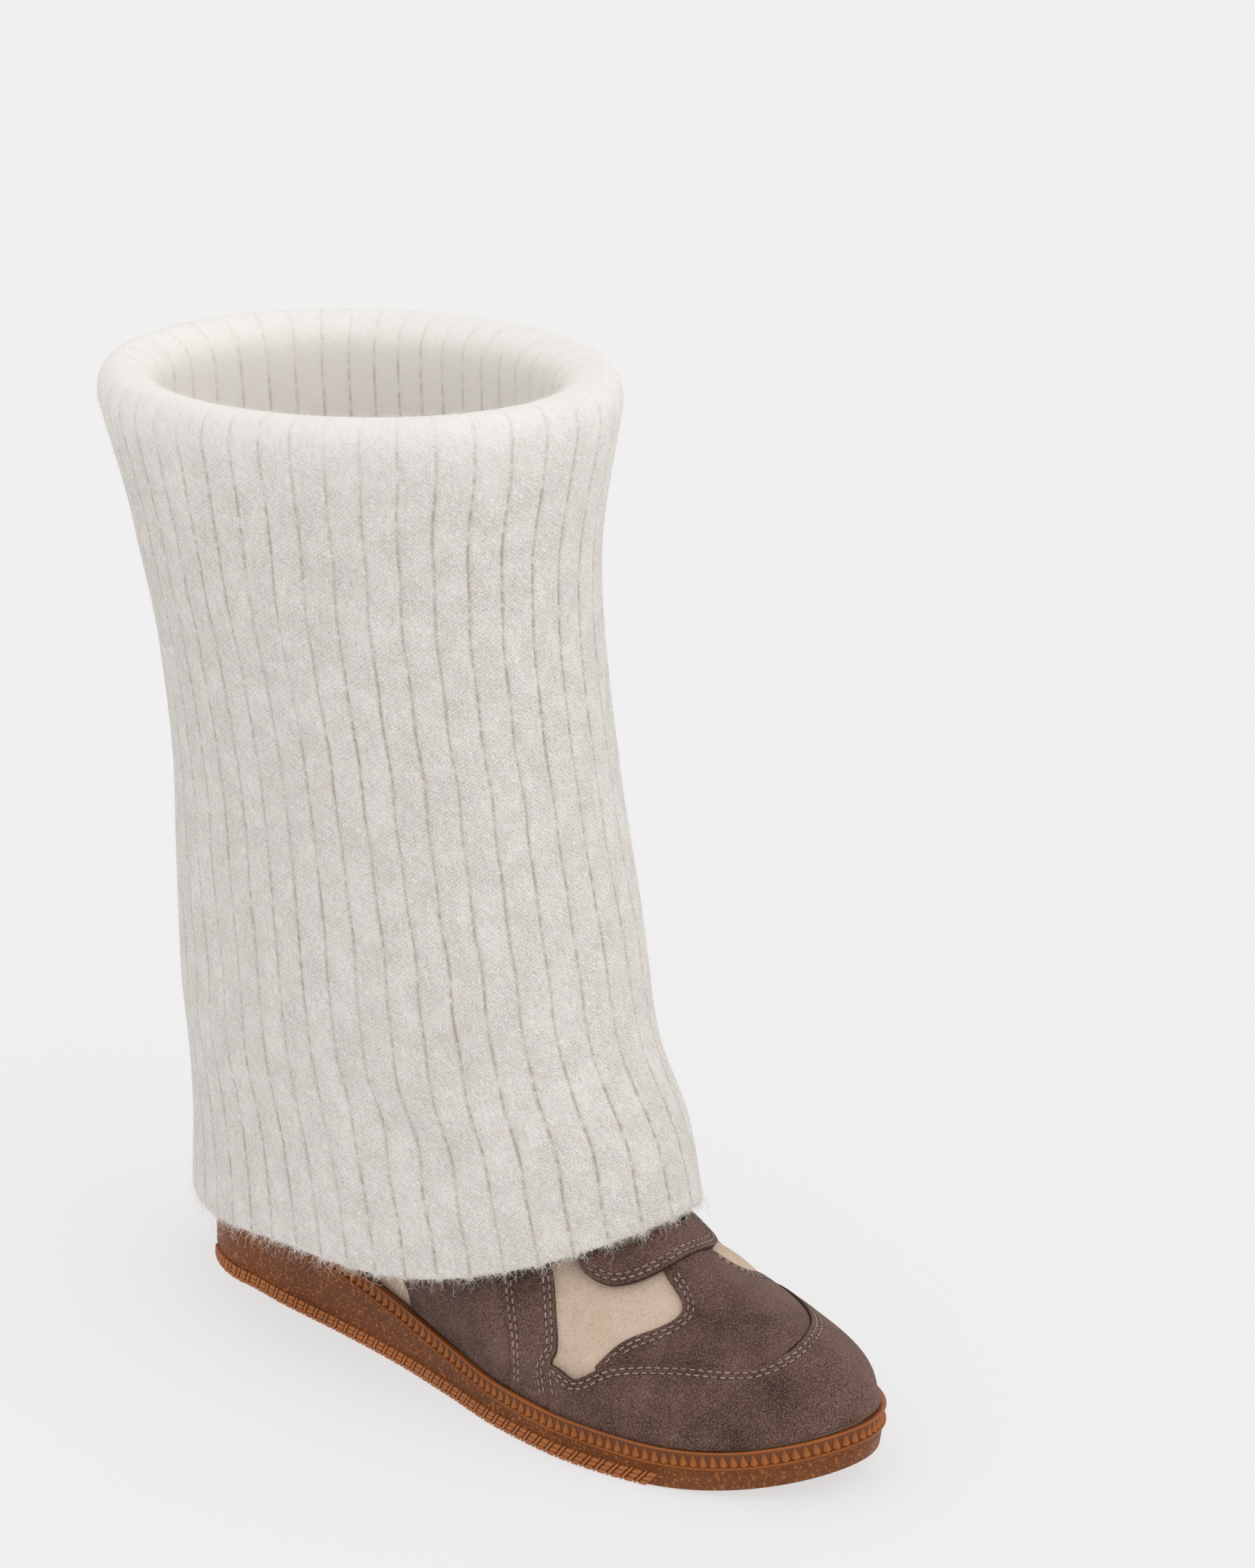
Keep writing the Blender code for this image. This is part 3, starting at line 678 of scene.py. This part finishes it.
outerEnd = knit["outerRings"]
scatterHairs("shaftHairsLow", outerWool, 0, outerEnd * 0.5, surfaceHairs, 21)
scatterHairs("shaftHairsHigh", outerWool, outerEnd * 0.5, outerEnd, surfaceHairs, 24)
scatterHairs("hemFuzz", hemWool, 0, knit["hemRingCount"] - 1, hemFuzz, 25)
scatterHairs("hemHairs", hemWool, 0, knit["hemRingCount"] - 1, hemHairs, 22)
scatterHairs("rimHairs", outerWool, outerEnd - 6, outerEnd + knit["rollRings"] + 5, rimHairs, 23)
print("wool hairs made")

# the gum rubber sole, in the shoe's own sizes; stations run from the heel's back to the toe
sole = {
    "length": 0.264, "ballWidth": 0.091, "heelY": 0.116, "heelHeight": 0.033, "toeSpring": 0.009,
    "springStart": 0.80, "heelRound": (0.13, 2.0), "toeRound": (0.32, 1.8),
    "along": (0.0, 0.13, 0.20, 0.30, 0.40, 0.50, 0.60, 0.68, 0.76, 0.90, 1.0),
    "outer": (0.345, 0.348, 0.368, 0.384, 0.410, 0.456, 0.508, 0.521, 0.521, 0.521, 0.521),
    "inner": (0.356, 0.356, 0.363, 0.342, 0.321, 0.348, 0.424, 0.479, 0.503, 0.520, 0.520),
    "height": (1.0, 0.91, 0.87, 0.79, 0.66, 0.53, 0.45, 0.43, 0.42, 0.40, 0.42),
    "columns": 960, "wallRings": 22, "underInsets": (0.030, 0.020, 0.012, 0.006),
    "cupInsets": (0.008, 0.014, 0.022, 0.030),
    "lip": 0.0034, "cup": 0.0042, "edge": 0.0022, "tuck": 0.0018, "springPower": 1.9,
    "bandHeight": 0.0050, "recess": 0.0013, "lipEdge": 0.0007, "lipSlope": 0.0011, "ridge": 0.0008,
    "wallInset": 0.0007, "treadHeight": 0.0054, "treadDepth": 0.0006, "treadStep": 0.0003,
}


def tableCurve(name, at):
    return curveThrough(sole["along"], sole[name], at)


def endRounding(along):
    heelReach, heelPower = sole["heelRound"]
    toeReach, toePower = sole["toeRound"]
    heel = np.clip(1 - along / heelReach, 0, 1) ** heelPower
    toe = np.clip((along - 1 + toeReach) / toeReach, 0, 1) ** toePower
    return (1 - heel) ** (1 / heelPower) * (1 - toe) ** (1 / toePower)


def soleOutline(turns, inset):
    # plan of the sole (0 heel, 0.5 toe, outer side first), moved inwards: x, y, along
    def plan(at):
        along = 0.5 - 0.5 * np.cos(2 * np.pi * at)
        half = np.where(at <= 0.5, -tableCurve("outer", along), tableCurve("inner", along))
        return half * sole["ballWidth"] * endRounding(along), sole["heelY"] - sole["length"] * along, along
    step = 1e-4
    x, y, along = plan(turns)
    x0, y0, _ = plan((turns - step) % 1.0)
    x1, y1, _ = plan((turns + step) % 1.0)
    dx, dy = x1 - x0, y1 - y0
    length = np.hypot(dx, dy)
    return x - dy / length * inset, y + dx / length * inset, along


def soleBottom(along):
    start = np.clip((along - sole["springStart"]) / (1 - sole["springStart"]), 0, 1)
    return sole["toeSpring"] * start ** sole["springPower"]


def soleTop(along):
    return soleBottom(along) + sole["heelHeight"] * tableCurve("height", along)


def aboveSole(points):
    # how high points lie above the sole's top edge beside them
    return points[:, 2] - soleTop(np.clip((sole["heelY"] - points[:, 1]) / sole["length"], 0, 1))


def evenTurns(count):
    # turns that lie evenly along the outline
    fine = np.linspace(0, 1, 20001)
    x, y, _ = soleOutline(np.clip(fine, 0, 0.99999), 0.0)
    run = np.concatenate([[0], np.cumsum(np.hypot(np.diff(x), np.diff(y)))])
    return np.interp(np.arange(count) / count * run[-1], run, fine), run[-1]


soleTurns, solePerimeter = evenTurns(sole["columns"])


def makeSole():
    turns = soleTurns
    along = soleOutline(turns, 0.0)[2]
    tuckShare = 1 - endRounding(along)
    low, top = soleBottom(along), soleTop(along)
    edge, tread, band, recess = sole["edge"], sole["treadHeight"], sole["bandHeight"], sole["recess"]
    ridge, lipEdge, wallInset = sole["ridge"], sole["lipEdge"], sole["wallInset"]
    rings = []

    def ring(inset, z, tuck=0.0):
        x, y, _ = soleOutline(turns, inset + tuck * sole["tuck"] * tuckShare)
        rings.append(np.stack([x, y, z], axis=-1))

    # the underside, then the tread band with its rounded lower edge
    for inset in sole["underInsets"]:
        ring(inset, low, 1.0)
    for turn in np.radians((-90, -65, -40, -15)):
        inset = edge / 2 * (1 - math.cos(turn)) + sole["treadDepth"]
        ring(inset, low + edge / 2 * (1 + math.sin(turn)), 1.0)
    for share in (0.35, 0.65, 1.0):
        ring(sole["treadDepth"], low + edge / 2 + (tread - edge / 2) * share, 1.0 - 0.5 * share)
    # the wall, then the ridge under the teeth
    wallLow, wallHigh = low + tread + sole["treadStep"], top - band - ridge
    for share in np.linspace(0, 1, sole["wallRings"]):
        ring(wallInset, wallLow + (wallHigh - wallLow) * share, 0.5 * (1 - share))
    for turn in np.radians((20, 70, 110, 160)):
        ring(wallInset * (1 - math.sin(turn)), top - band - ridge / 2 * (1 + math.cos(turn)))
    # the recess behind the teeth, the lip's rounded edge and its sloped top
    for share in (0.04, 0.35, 0.7, 1.0):
        ring(recess, top - band + (band - lipEdge) * share)
    for turn in np.radians((-60, -20, 20, 60, 90)):
        ring(lipEdge / 2 * (1 - math.cos(turn)), top - lipEdge / 2 * (1 - math.sin(turn)))
    for share in (0.5, 0.9, 1.0):
        ring(lipEdge / 2 + (sole["lip"] - lipEdge / 2) * share, top - sole["lipSlope"] * share)
    # the cup that holds the upper
    ring(sole["lip"], top - sole["cup"])
    for inset in sole["cupInsets"]:
        ring(inset, top - sole["cup"])
    loop = np.stack(rings)
    piece, place, column = wrappedGrid("gumSole", len(loop), sole["columns"])
    writePoints(piece.data, loop[place, column % sole["columns"]])
    mergePoints(piece)
    with editing(piece, "DESELECT"):
        bpy.ops.mesh.select_non_manifold()
        bpy.ops.mesh.fill()
    shadeSmooth(piece, 50)
    return piece


gumColours = {
    # the crease colour is painted shade, for the crumbs' creases and for the recess behind the teeth
    "dark": (0.28, 0.080, 0.0160), "light": (0.38, 0.113, 0.0235), "crease": (0.12, 0.033, 0.008),
    # the raised colour is a lighter rubber, painted as highlight on the teeth, the tread blocks and the
    # crumbs' peaks
    "raised": (0.48, 0.160, 0.038), "crumbScale": 900.0, "creaseShadeShare": 0.36, "peakHighlightShare": 0.08,
    "recessShadeShare": 0.80,
}


def gumMaterial(name, raised):
    made, shader = newMaterial(name, 0.50, 0.35)
    place = objectPlace(made)
    patches = ramp(made, noise(made, place, 30.0, 3.0), 0.35, 0.65)
    crumb = ramp(made, noise(made, place, gumColours["crumbScale"], 4.0, 0.60), 0.36, 0.58)
    grain = noise(made, place, 1700.0, 3.0)
    crumbs, shaded = painted(made, "crumbs"), painted(made, "recess")
    colour = mixColour(made, patches, gumColours["dark"], gumColours["light"])
    # painted highlight: the relief pieces get a share of the lighter raised colour
    colour = mixColour(made, raised, colour, gumColours["raised"])
    # painted shade in the crumbs' creases
    crease = times(made, calc(made, "SUBTRACT", 1.0, crumb), crumbs, gumColours["creaseShadeShare"])
    colour = mixColour(made, crease, colour, gumColours["crease"])
    # painted highlight on the crumbs' peaks
    peakHighlight = times(made, ramp(made, crumb, 0.7, 1.0), crumbs, gumColours["peakHighlightShare"])
    colour = mixColour(made, peakHighlight, colour, gumColours["raised"])
    # painted shade in the recess behind the teeth
    colour = mixColour(made, times(made, shaded, gumColours["recessShadeShare"]), colour, gumColours["crease"])
    normal = bump(made, times(made, crumb, crumbs), 1.0, 0.0009)
    plug(made, shader, colour, bump(made, grain, 0.25, 0.0004, normal))
    return made


def paintCrumbs(piece):
    # crumbs on the wall, which the material gives painted shade in their creases and painted highlights on
    # their peaks, and the recess behind the teeth, which gets painted shade
    fromTop = -aboveSole(readPoints(piece.data))
    lip, band, blur = sole["lipEdge"], sole["bandHeight"], 0.0002
    wallStart = band + sole["ridge"]
    paintNumbers(piece.data, "crumbs", smoothStep(wallStart - blur, wallStart + 3 * blur, fromTop))
    inRecess = smoothStep(lip - blur, lip + blur, fromTop) * smoothStep(band + blur, band - blur, fromTop)
    paintNumbers(piece.data, "recess", inRecess)


gum = gumMaterial("gumRubber", 0.0)
# a lighter copy of the rubber for the teeth and tread blocks, a painted highlight on the raised parts
gumRaisedLit = gumMaterial("gumReliefLit", 0.45)
gumSole = makeSole()
paintCrumbs(gumSole)
gumSole.data.materials.append(gum)
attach(gumSole, "root")
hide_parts("outsole")
print("sole:", len(gumSole.data.polygons), "faces")

teeth = {"pitch": 0.0031, "width": 0.0030, "height": 0.0042, "depth": 0.0026}
treads = {
    "pitch": 0.0047, "barWidth": 0.0011, "barDepth": 0.0013, "barHeight": 0.0047, "slant": (0.35, 0.85),
    "blockWidth": 0.0027, "blockHeight": 0.00140, "blockGap": 0.00018, "blockDepth": 0.0011, "blocks": 3,
    "from": 0.035, "to": 0.81, "low": 0.0004, "inset": 0.0005,
}


def wallFrame(turn, inset, height):
    # place on the sole's side, with the ways along the sole, outwards and up
    step = 2e-4
    at = np.array([turn, (turn + step) % 1.0])
    x, y, along = soleOutline(at, inset)
    place = np.array([x[0], y[0], height(along[:1])[0]])
    way = unit(np.array([x[1] - x[0], y[1] - y[0], height(along[1:])[0] - height(along[:1])[0]]))
    out = unit(np.array([-way[1], way[0], 0.0]))
    middleY = sole["heelY"] - sole["length"] / 2
    out = out if out @ np.array([x[0], y[0] - middleY, 0.0]) > 0 else -out
    up = np.cross(way, out)
    return place, way, out, up * np.sign(up[2])


def placedAlong(pitch):
    count = int(round(solePerimeter / pitch))
    return np.interp(np.arange(count) / count * len(soleTurns), np.arange(len(soleTurns)), soleTurns)


def softModel(bevel, segments):
    # the primitive just added, with its edges softened
    model = bpy.context.active_object
    with editing(model):
        bpy.ops.mesh.bevel(offset=bevel, segments=segments)
    return model


toothFrames = []
for turn in placedAlong(teeth["pitch"]):
    place, way, out, up = wallFrame(turn, sole["recess"], lambda along: soleTop(along) - sole["bandHeight"])
    middle = place + up * teeth["height"] / 2
    toothFrames.append((middle, way * teeth["width"], out * teeth["depth"], up * teeth["height"]))
deselectAll()
bpy.ops.mesh.primitive_cone_add(vertices=4, radius1=0.5, radius2=0.03, depth=1.0, location=(0, 0, 0))
bandTeeth = copiesOf("bandTeeth", softModel(0.05, 1), toothFrames)

treadFrames = []
for turn in placedAlong(treads["pitch"]):
    share = 0.5 - 0.5 * math.cos(2 * math.pi * turn)
    if not treads["from"] < share < treads["to"]:
        continue
    inset = treads["inset"] + 0.5 * sole["tuck"] * float(1 - endRounding(np.array([share]))[0])
    place, way, out, up = wallFrame(turn, inset, lambda along: soleBottom(along) + treads["low"])
    toToe = way if way[1] < 0 else -way
    heelSlant, toeSlant = treads["slant"]
    lean = up + toToe * (heelSlant + (toeSlant - heelSlant) * share / treads["to"])
    tall = treads["barHeight"]
    treadFrames.append((place + lean * tall / 2, toToe * treads["barWidth"], out * treads["barDepth"],
                        lean * tall))
    tall = treads["blockHeight"]
    for level in range(treads["blocks"]):
        middle = place + toToe * treads["pitch"] / 2 + lean * (tall / 2 + level * (tall + treads["blockGap"]))
        treadFrames.append((middle, toToe * treads["blockWidth"], out * treads["blockDepth"], lean * tall))
deselectAll()
bpy.ops.mesh.primitive_cube_add(size=1.0, location=(0, 0, 0))
treadBlocks = copiesOf("treadBlocks", softModel(0.16, 2), treadFrames)

for piece in (bandTeeth, treadBlocks):
    with editing(piece):
        bpy.ops.mesh.normals_make_consistent(inside=False)
    # the relief pieces get a little crumb texture with its painted shade, and no painted recess shade
    paintNumbers(piece.data, "crumbs", np.full(len(piece.data.vertices), 0.10))
    paintNumbers(piece.data, "recess", np.zeros(len(piece.data.vertices)))
    piece.data.materials.append(gumRaisedLit)
    shadeSmooth(piece, 35)
    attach(piece, "root")
print("teeth:", len(toothFrames), "tread blocks:", len(treadFrames))

# the insole is the CAD's own, with a material
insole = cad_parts["insole"]
insole.data.materials.clear()
insole.data.materials.append(footbed)

# the upper and its panels: the CAD's own bodies, smoothed, with soft cut edges and stitching
upperSmooth = nodeCopy("upper", "upperShell")
panels = {
    "toe_guard": "toeGuard", "vamp_panel": "vampPanel", "strap": "instepStrap",
    "side_band_outer": "sideBandOuter", "side_band_inner": "sideBandInner",
    "quarter_panel_outer": "quarterOuter", "quarter_panel_inner": "quarterInner",
}
upperFinish = {"sharpAngle": 50, "levels": 2}
panelFinish = {"sharpAngle": 42, "levels": 3, "bevel": 0.00022, "bevelSegments": 2, "smoothAngle": 60}
settling = {"depth": 0.0007, "from": 0.001, "to": 0.005, "reachDown": 0.0022, "reachFrom": 0.0016}
# the sand suede bulges a little in the inner window: its place, reach and rise
windowBulge = {"place": (0.027, -0.071, 0.040), "reach": 0.010, "rise": 0.0018}


def readNormals(mesh):
    normals = np.empty(len(mesh.vertices) * 3)
    mesh.vertices.foreach_get("normal", normals)
    return normals.reshape(-1, 3)


def creaseSharpEdges(piece, angle):
    work = bmesh.new()
    work.from_mesh(piece.data)
    crease = work.edges.layers.float.get("crease_edge") or work.edges.layers.float.new("crease_edge")
    for edge in work.edges:
        if len(edge.link_faces) == 2 and edge.calc_face_angle() > math.radians(angle):
            edge[crease] = 1.0
    work.to_mesh(piece.data)
    work.free()


def softenEdges(piece):
    soft = piece.modifiers.new("softEdge", "BEVEL")
    soft.limit_method = "ANGLE"
    soft.angle_limit = math.radians(panelFinish["sharpAngle"])
    soft.width = panelFinish["bevel"]
    soft.segments = panelFinish["bevelSegments"]
    finishModifiers(piece)


creaseSharpEdges(upperSmooth, upperFinish["sharpAngle"])
subdivide(upperSmooth, upperFinish["levels"])
upperTree = surfaceTree(upperSmooth)
upperPoints = readPoints(upperSmooth.data)
fromBulge = np.linalg.norm(upperPoints - windowBulge["place"], axis=1) / windowBulge["reach"]
bulge = np.exp(-(fromBulge**2))
upperPoints += readNormals(upperSmooth.data) * (bulge * windowBulge["rise"])[:, None]
writePoints(upperSmooth.data, upperPoints)
upperSmooth.data.materials.append(suedeSand)
shadeSmooth(upperSmooth, upperFinish["sharpAngle"])
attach(upperSmooth, "root")
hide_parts("upper")


def faceSides(piece):
    # 1 on the outer sheet, -1 on the back, 0 on the cut edge
    faces = piece.data.polygons
    out = nearestOn(upperTree, [face.center for face in faces], 1)
    facing = (np.array([face.normal for face in faces]) * out).sum(1)
    return (facing > 0.6).astype(int) - (facing < -0.6)


def borderLoops(piece, sides):
    # the outer sheet's border as rings of points in order
    owners = {}
    for face, side in zip(piece.data.polygons, sides):
        for key in face.edge_keys:
            owners.setdefault(key, []).append(side)
    after = {}
    for (a, b), near in owners.items():
        if 1 in near and 0 in near:
            after.setdefault(a, []).append(b)
            after.setdefault(b, []).append(a)
    loops, seen = [], set()
    for start in after:
        if start in seen:
            continue
        walk, here = [start], start
        seen.add(start)
        while True:
            nexts = [place for place in after[here] if place not in seen]
            if not nexts:
                break
            here = nexts[0]
            seen.add(here)
            walk.append(here)
        loops.append(np.array([piece.data.vertices[place].co for place in walk]))
    return [loop for loop in loops if len(loop) > 20]


def settlePanel(piece):
    # lies closer to the upper, and reaches down behind the sole's lip
    points = readPoints(piece.data)
    heights = aboveSole(points)
    out = nearestOn(upperTree, points, 1)
    points -= out * (settling["depth"] * smoothStep(settling["from"], settling["to"], heights))[:, None]
    points[:, 2] -= settling["reachDown"] * smoothStep(settling["reachFrom"], 0.0, heights)
    writePoints(piece.data, points)


def makePanel(nodeName, pieceName):
    piece = nodeCopy(nodeName, pieceName)
    creaseSharpEdges(piece, panelFinish["sharpAngle"])
    subdivide(piece, panelFinish["levels"])
    loops = borderLoops(piece, faceSides(piece))
    softenEdges(piece)
    sides = faceSides(piece)
    settlePanel(piece)
    piece.data.materials.append(suedeBrown)
    piece.data.materials.append(cutEdge)
    piece.data.polygons.foreach_set("material_index", (sides == 0).astype(np.int32))
    shadeSmooth(piece, panelFinish["smoothAngle"])
    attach(piece, "root")
    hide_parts(nodeName)
    return piece, loops


panelPieces, panelBorders = {}, {}
for nodeName, pieceName in panels.items():
    panelPieces[nodeName], panelBorders[nodeName] = makePanel(nodeName, pieceName)
panelTrees = {nodeName: surfaceTree(piece) for nodeName, piece in panelPieces.items()}

# where one panel's edge lies under the next one's, so that no gap shows along the seam
underlaps = (("vamp_panel", "toe_guard"), ("vamp_panel", "strap"), ("side_band_outer", "toe_guard"),
             ("side_band_inner", "toe_guard"), ("quarter_panel_outer", "side_band_outer"),
             ("quarter_panel_inner", "side_band_inner"))
underlap = {"reach": 0.0018, "full": 0.0006, "under": 0.0011, "sink": 0.0005,
            "lowBelow": 0.007, "lowAbove": 0.003, "lowReach": 0.0014, "lowFull": 0.0012, "lowUnder": 0.0010}


def tuckUnder(piece, overTree):
    # the gap is wider near the sole, so an edge reaches further under there
    points = readPoints(piece.data)
    low = smoothStep(underlap["lowBelow"], underlap["lowAbove"], aboveSole(points))
    reach = underlap["reach"] + underlap["lowReach"] * low
    full = underlap["full"] + underlap["lowFull"] * low
    share = smoothStep(reach, full, nearestOn(overTree, points, 3))
    under = share * (underlap["under"] + underlap["lowUnder"] * low)
    toward = unit(nearestOn(overTree, points, 0) - points)
    out = nearestOn(upperTree, points, 1)
    writePoints(piece.data, points + toward * under[:, None] - out * (underlap["sink"] * share)[:, None])


for under, over in underlaps:
    tuckUnder(panelPieces[under], panelTrees[over])

# stitching: double rows beside the cut edges, each row sunk a little into the suede
stitching = {
    "pitch": 0.0027, "length": 0.0020, "width": 0.00060, "height": 0.00046, "lift": 0.00004,
    "hole": 0.00052, "first": 0.0015, "second": 0.0032, "pathStep": 0.0005, "fewestSteps": 12,
    "probe": 0.001, "above": 0.002, "clearShare": 0.93, "holeSink": 0.30,
    "trough": 0.00028, "troughWidth": 0.0007, "puff": 0.00016, "puffAt": 0.0014, "puffWidth": 0.0009,
}
stitchedEdges = {
    # node: other nodes that the border must be clear of, least height above the sole, and how far
    # the border may face the heel
    "toe_guard": ((), 0.0050, 1.0),
    "vamp_panel": ((("toe_guard", 0.0030), ("strap", 0.0020)), 0.0, 1.0),
    "strap": ((), 0.0, 0.25),
    "side_band_outer": ((), 0.0030, 1.0),
    "side_band_inner": ((), 0.0030, 1.0),
}


def borderTree(points):
    tree = KDTree(len(points))
    for number, point in enumerate(points):
        tree.insert(point, number)
    tree.balance()
    return tree


def evenPath(points, step):
    run = runOf(points)
    count = int(run[-1] / step)
    wanted = np.arange(count) * step + (run[-1] - (count - 1) * step) / 2
    return pointsAt(wanted, run, points)


def splitRuns(keep):
    # starts and ends of the stretches that are kept
    edges = np.diff(np.concatenate([[0], keep.astype(int), [0]]))
    return list(zip(np.where(edges == 1)[0], np.where(edges == -1)[0]))


def stitchPaths(nodeName):
    neighbours, leastHeight, mostHeelward = stitchedEdges[nodeName]
    tree = panelTrees[nodeName]
    paths = []
    for loop in panelBorders[nodeName]:
        loop = evenPath(np.vstack([loop, loop[:1]]), stitching["pathStep"])
        keep = aboveSole(loop) > leastHeight
        for other, least in neighbours:
            keep &= nearestOn(panelTrees[other], loop, 3) > least
        tangent = unit(np.roll(loop, -3, 0) - np.roll(loop, 3, 0))
        facing = nearestOn(upperTree, loop, 1)
        inward = np.cross(facing, tangent)
        probe = inward * stitching["probe"]
        inside, outside = [nearestOn(tree, loop + way, 3) for way in (probe, -probe)]
        inward = inward if inside.mean() < outside.mean() else -inward
        keep &= -inward[:, 1] <= mostHeelward
        shift = int(np.argmin(keep)) if not keep.all() else 0
        keep, line = np.roll(keep, -shift), np.roll(loop, -shift, 0)
        inward, facing = np.roll(inward, -shift, 0), np.roll(facing, -shift, 0)
        edge = borderTree(loop)
        for offset in (stitching["first"], stitching["second"]):
            row = line + inward * offset
            least = offset * stitching["clearShare"]
            clear = np.array([edge.find(Vector(point))[2] > least for point in row])
            for start, end in splitRuns(keep & clear):
                if end - start < stitching["fewestSteps"]:
                    continue
                above = smoothUp(row[start:end].copy(), 6) + facing[start:end] * stitching["above"]
                paths.append((nearestOn(tree, above, 0), nearestOn(tree, above, 1)))
    return paths


def stitchFrames(line, facing):
    # places and ways of the stitches along one row, and of the needle holes between them
    near = borderTree(line)
    stitchRow, holeRow = [], []
    for number, place in enumerate(evenPath(line, stitching["pitch"] / 2)):
        row = near.find(Vector(place))[1]
        low, high = max(row - 2, 0), min(row + 2, len(line) - 1)
        way = unit(line[high] - line[low])
        out = unit(facing[row] - way * np.dot(facing[row], way))
        side = np.cross(out, way)
        if number % 2 == 0:
            stitchRow.append((place + out * stitching["lift"], way * stitching["length"],
                              side * stitching["width"], out * stitching["height"]))
        else:
            hole = stitching["hole"]
            holeRow.append((place - out * hole * stitching["holeSink"], way * hole, side * hole, out * hole))
    return stitchRow, holeRow


def sinkRows(piece, lines):
    # the suede sinks under each row and puffs up a little beside it
    tree = borderTree(np.concatenate(lines))
    points = readPoints(piece.data)
    distance = np.array([tree.find(Vector(point))[2] for point in points])
    sink = stitching["trough"] * np.exp(-((distance / stitching["troughWidth"]) ** 2))
    puff = stitching["puff"] * np.exp(-(((distance - stitching["puffAt"]) / stitching["puffWidth"]) ** 2))
    writePoints(piece.data, points + readNormals(piece.data) * (puff - sink)[:, None])


stitchPlaces, holePlaces = [], []
for nodeName in stitchedEdges:
    rows = stitchPaths(nodeName)
    sinkRows(panelPieces[nodeName], [line for line, facing in rows])
    for line, facing in rows:
        stitchRow, holeRow = stitchFrames(line, facing)
        stitchPlaces += stitchRow
        holePlaces += holeRow
    print("stitching", nodeName, len(rows), "rows")
# the needle holes are small sunk beads of the darker cut-edge colour: the suede's cut fibres, painted darker
# as shade standing in for each hole
smallPieces = (("suedeStitches", stitchPlaces, taupeThread), ("needleHoleShades", holePlaces, cutEdge))
for name, places, finish in smallPieces:
    deselectAll()
    bpy.ops.mesh.primitive_uv_sphere_add(segments=6, ring_count=5, radius=0.5, rotation=(0, math.pi / 2, 0))
    bpy.ops.object.transform_apply(rotation=True)
    rowPiece = copiesOf(name, bpy.context.active_object, places)
    rowPiece.data.materials.append(finish)
    shadeSmooth(rowPiece)
    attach(rowPiece, "root")

# camera at the photo's angle, plain pale floor, soft studio light
view = {"azimuth": 43.0, "pitch": 22.0, "distance": 1.750, "aim": (0.0185, -0.0348, 0.1866),
        "lens": 136.34, "sensorWidth": 36.0, "clipEnd": 50.0}
turn, pitch = math.radians(view["azimuth"]), math.radians(view["pitch"])
backWay = Vector((-math.cos(turn) * math.cos(pitch), -math.sin(turn) * math.cos(pitch), math.sin(pitch)))
deselectAll()
bpy.ops.object.camera_add(location=Vector(view["aim"]) + backWay * view["distance"],
                          rotation=(math.pi / 2 - pitch, 0, turn - math.pi / 2))
camera = bpy.context.active_object
camera.name = "studioCamera"
camera.data.lens = view["lens"]
camera.data.sensor_width = view["sensorWidth"]
camera.data.clip_end = view["clipEnd"]
bpy.context.scene.camera = camera

studio = {
    "white": (1.0, 1.0, 1.0, 1.0), "worldLight": 0.90, "skyLight": 0.50, "skySpread": 60.0,
    "skyFrom": (0.10, -0.92, 0.75), "floorSize": 16.0, "paper": (0.24, 0.24, 0.24),
    "paperLight": (0.245, 0.245, 0.245), "paperGlow": 0.630,
}
deselectAll()
bpy.ops.mesh.primitive_plane_add(size=studio["floorSize"], location=(0, 0, 0))
floor = bpy.context.active_object
floor.name = "studioFloor"
paper, paperShader = newMaterial("palePaper", 0.9, 0.0)
paperPatches = noise(paper, objectPlace(paper), 3.0)
plug(paper, paperShader, mixColour(paper, paperPatches, studio["paper"], studio["paperLight"]))
paperShader.inputs["Emission Color"].default_value = studio["white"]
paperShader.inputs["Emission Strength"].default_value = studio["paperGlow"]
floor.data.materials.append(paper)

world = bpy.data.worlds.new("studioWorld")
world.use_nodes = True
background = world.node_tree.nodes["Background"]
background.inputs["Color"].default_value = studio["white"]
background.inputs["Strength"].default_value = studio["worldLight"]
bpy.context.scene.world = world
bpy.context.scene.view_settings.view_transform = "Standard"

deselectAll()
way = Vector(studio["skyFrom"])
bpy.ops.object.light_add(type="SUN", location=way * 2, rotation=way.to_track_quat("Z", "Y").to_euler())
sky = bpy.context.active_object
sky.name = "softSky"
sky.data.energy = studio["skyLight"]
sky.data.angle = math.radians(studio["skySpread"])
print("studio set")
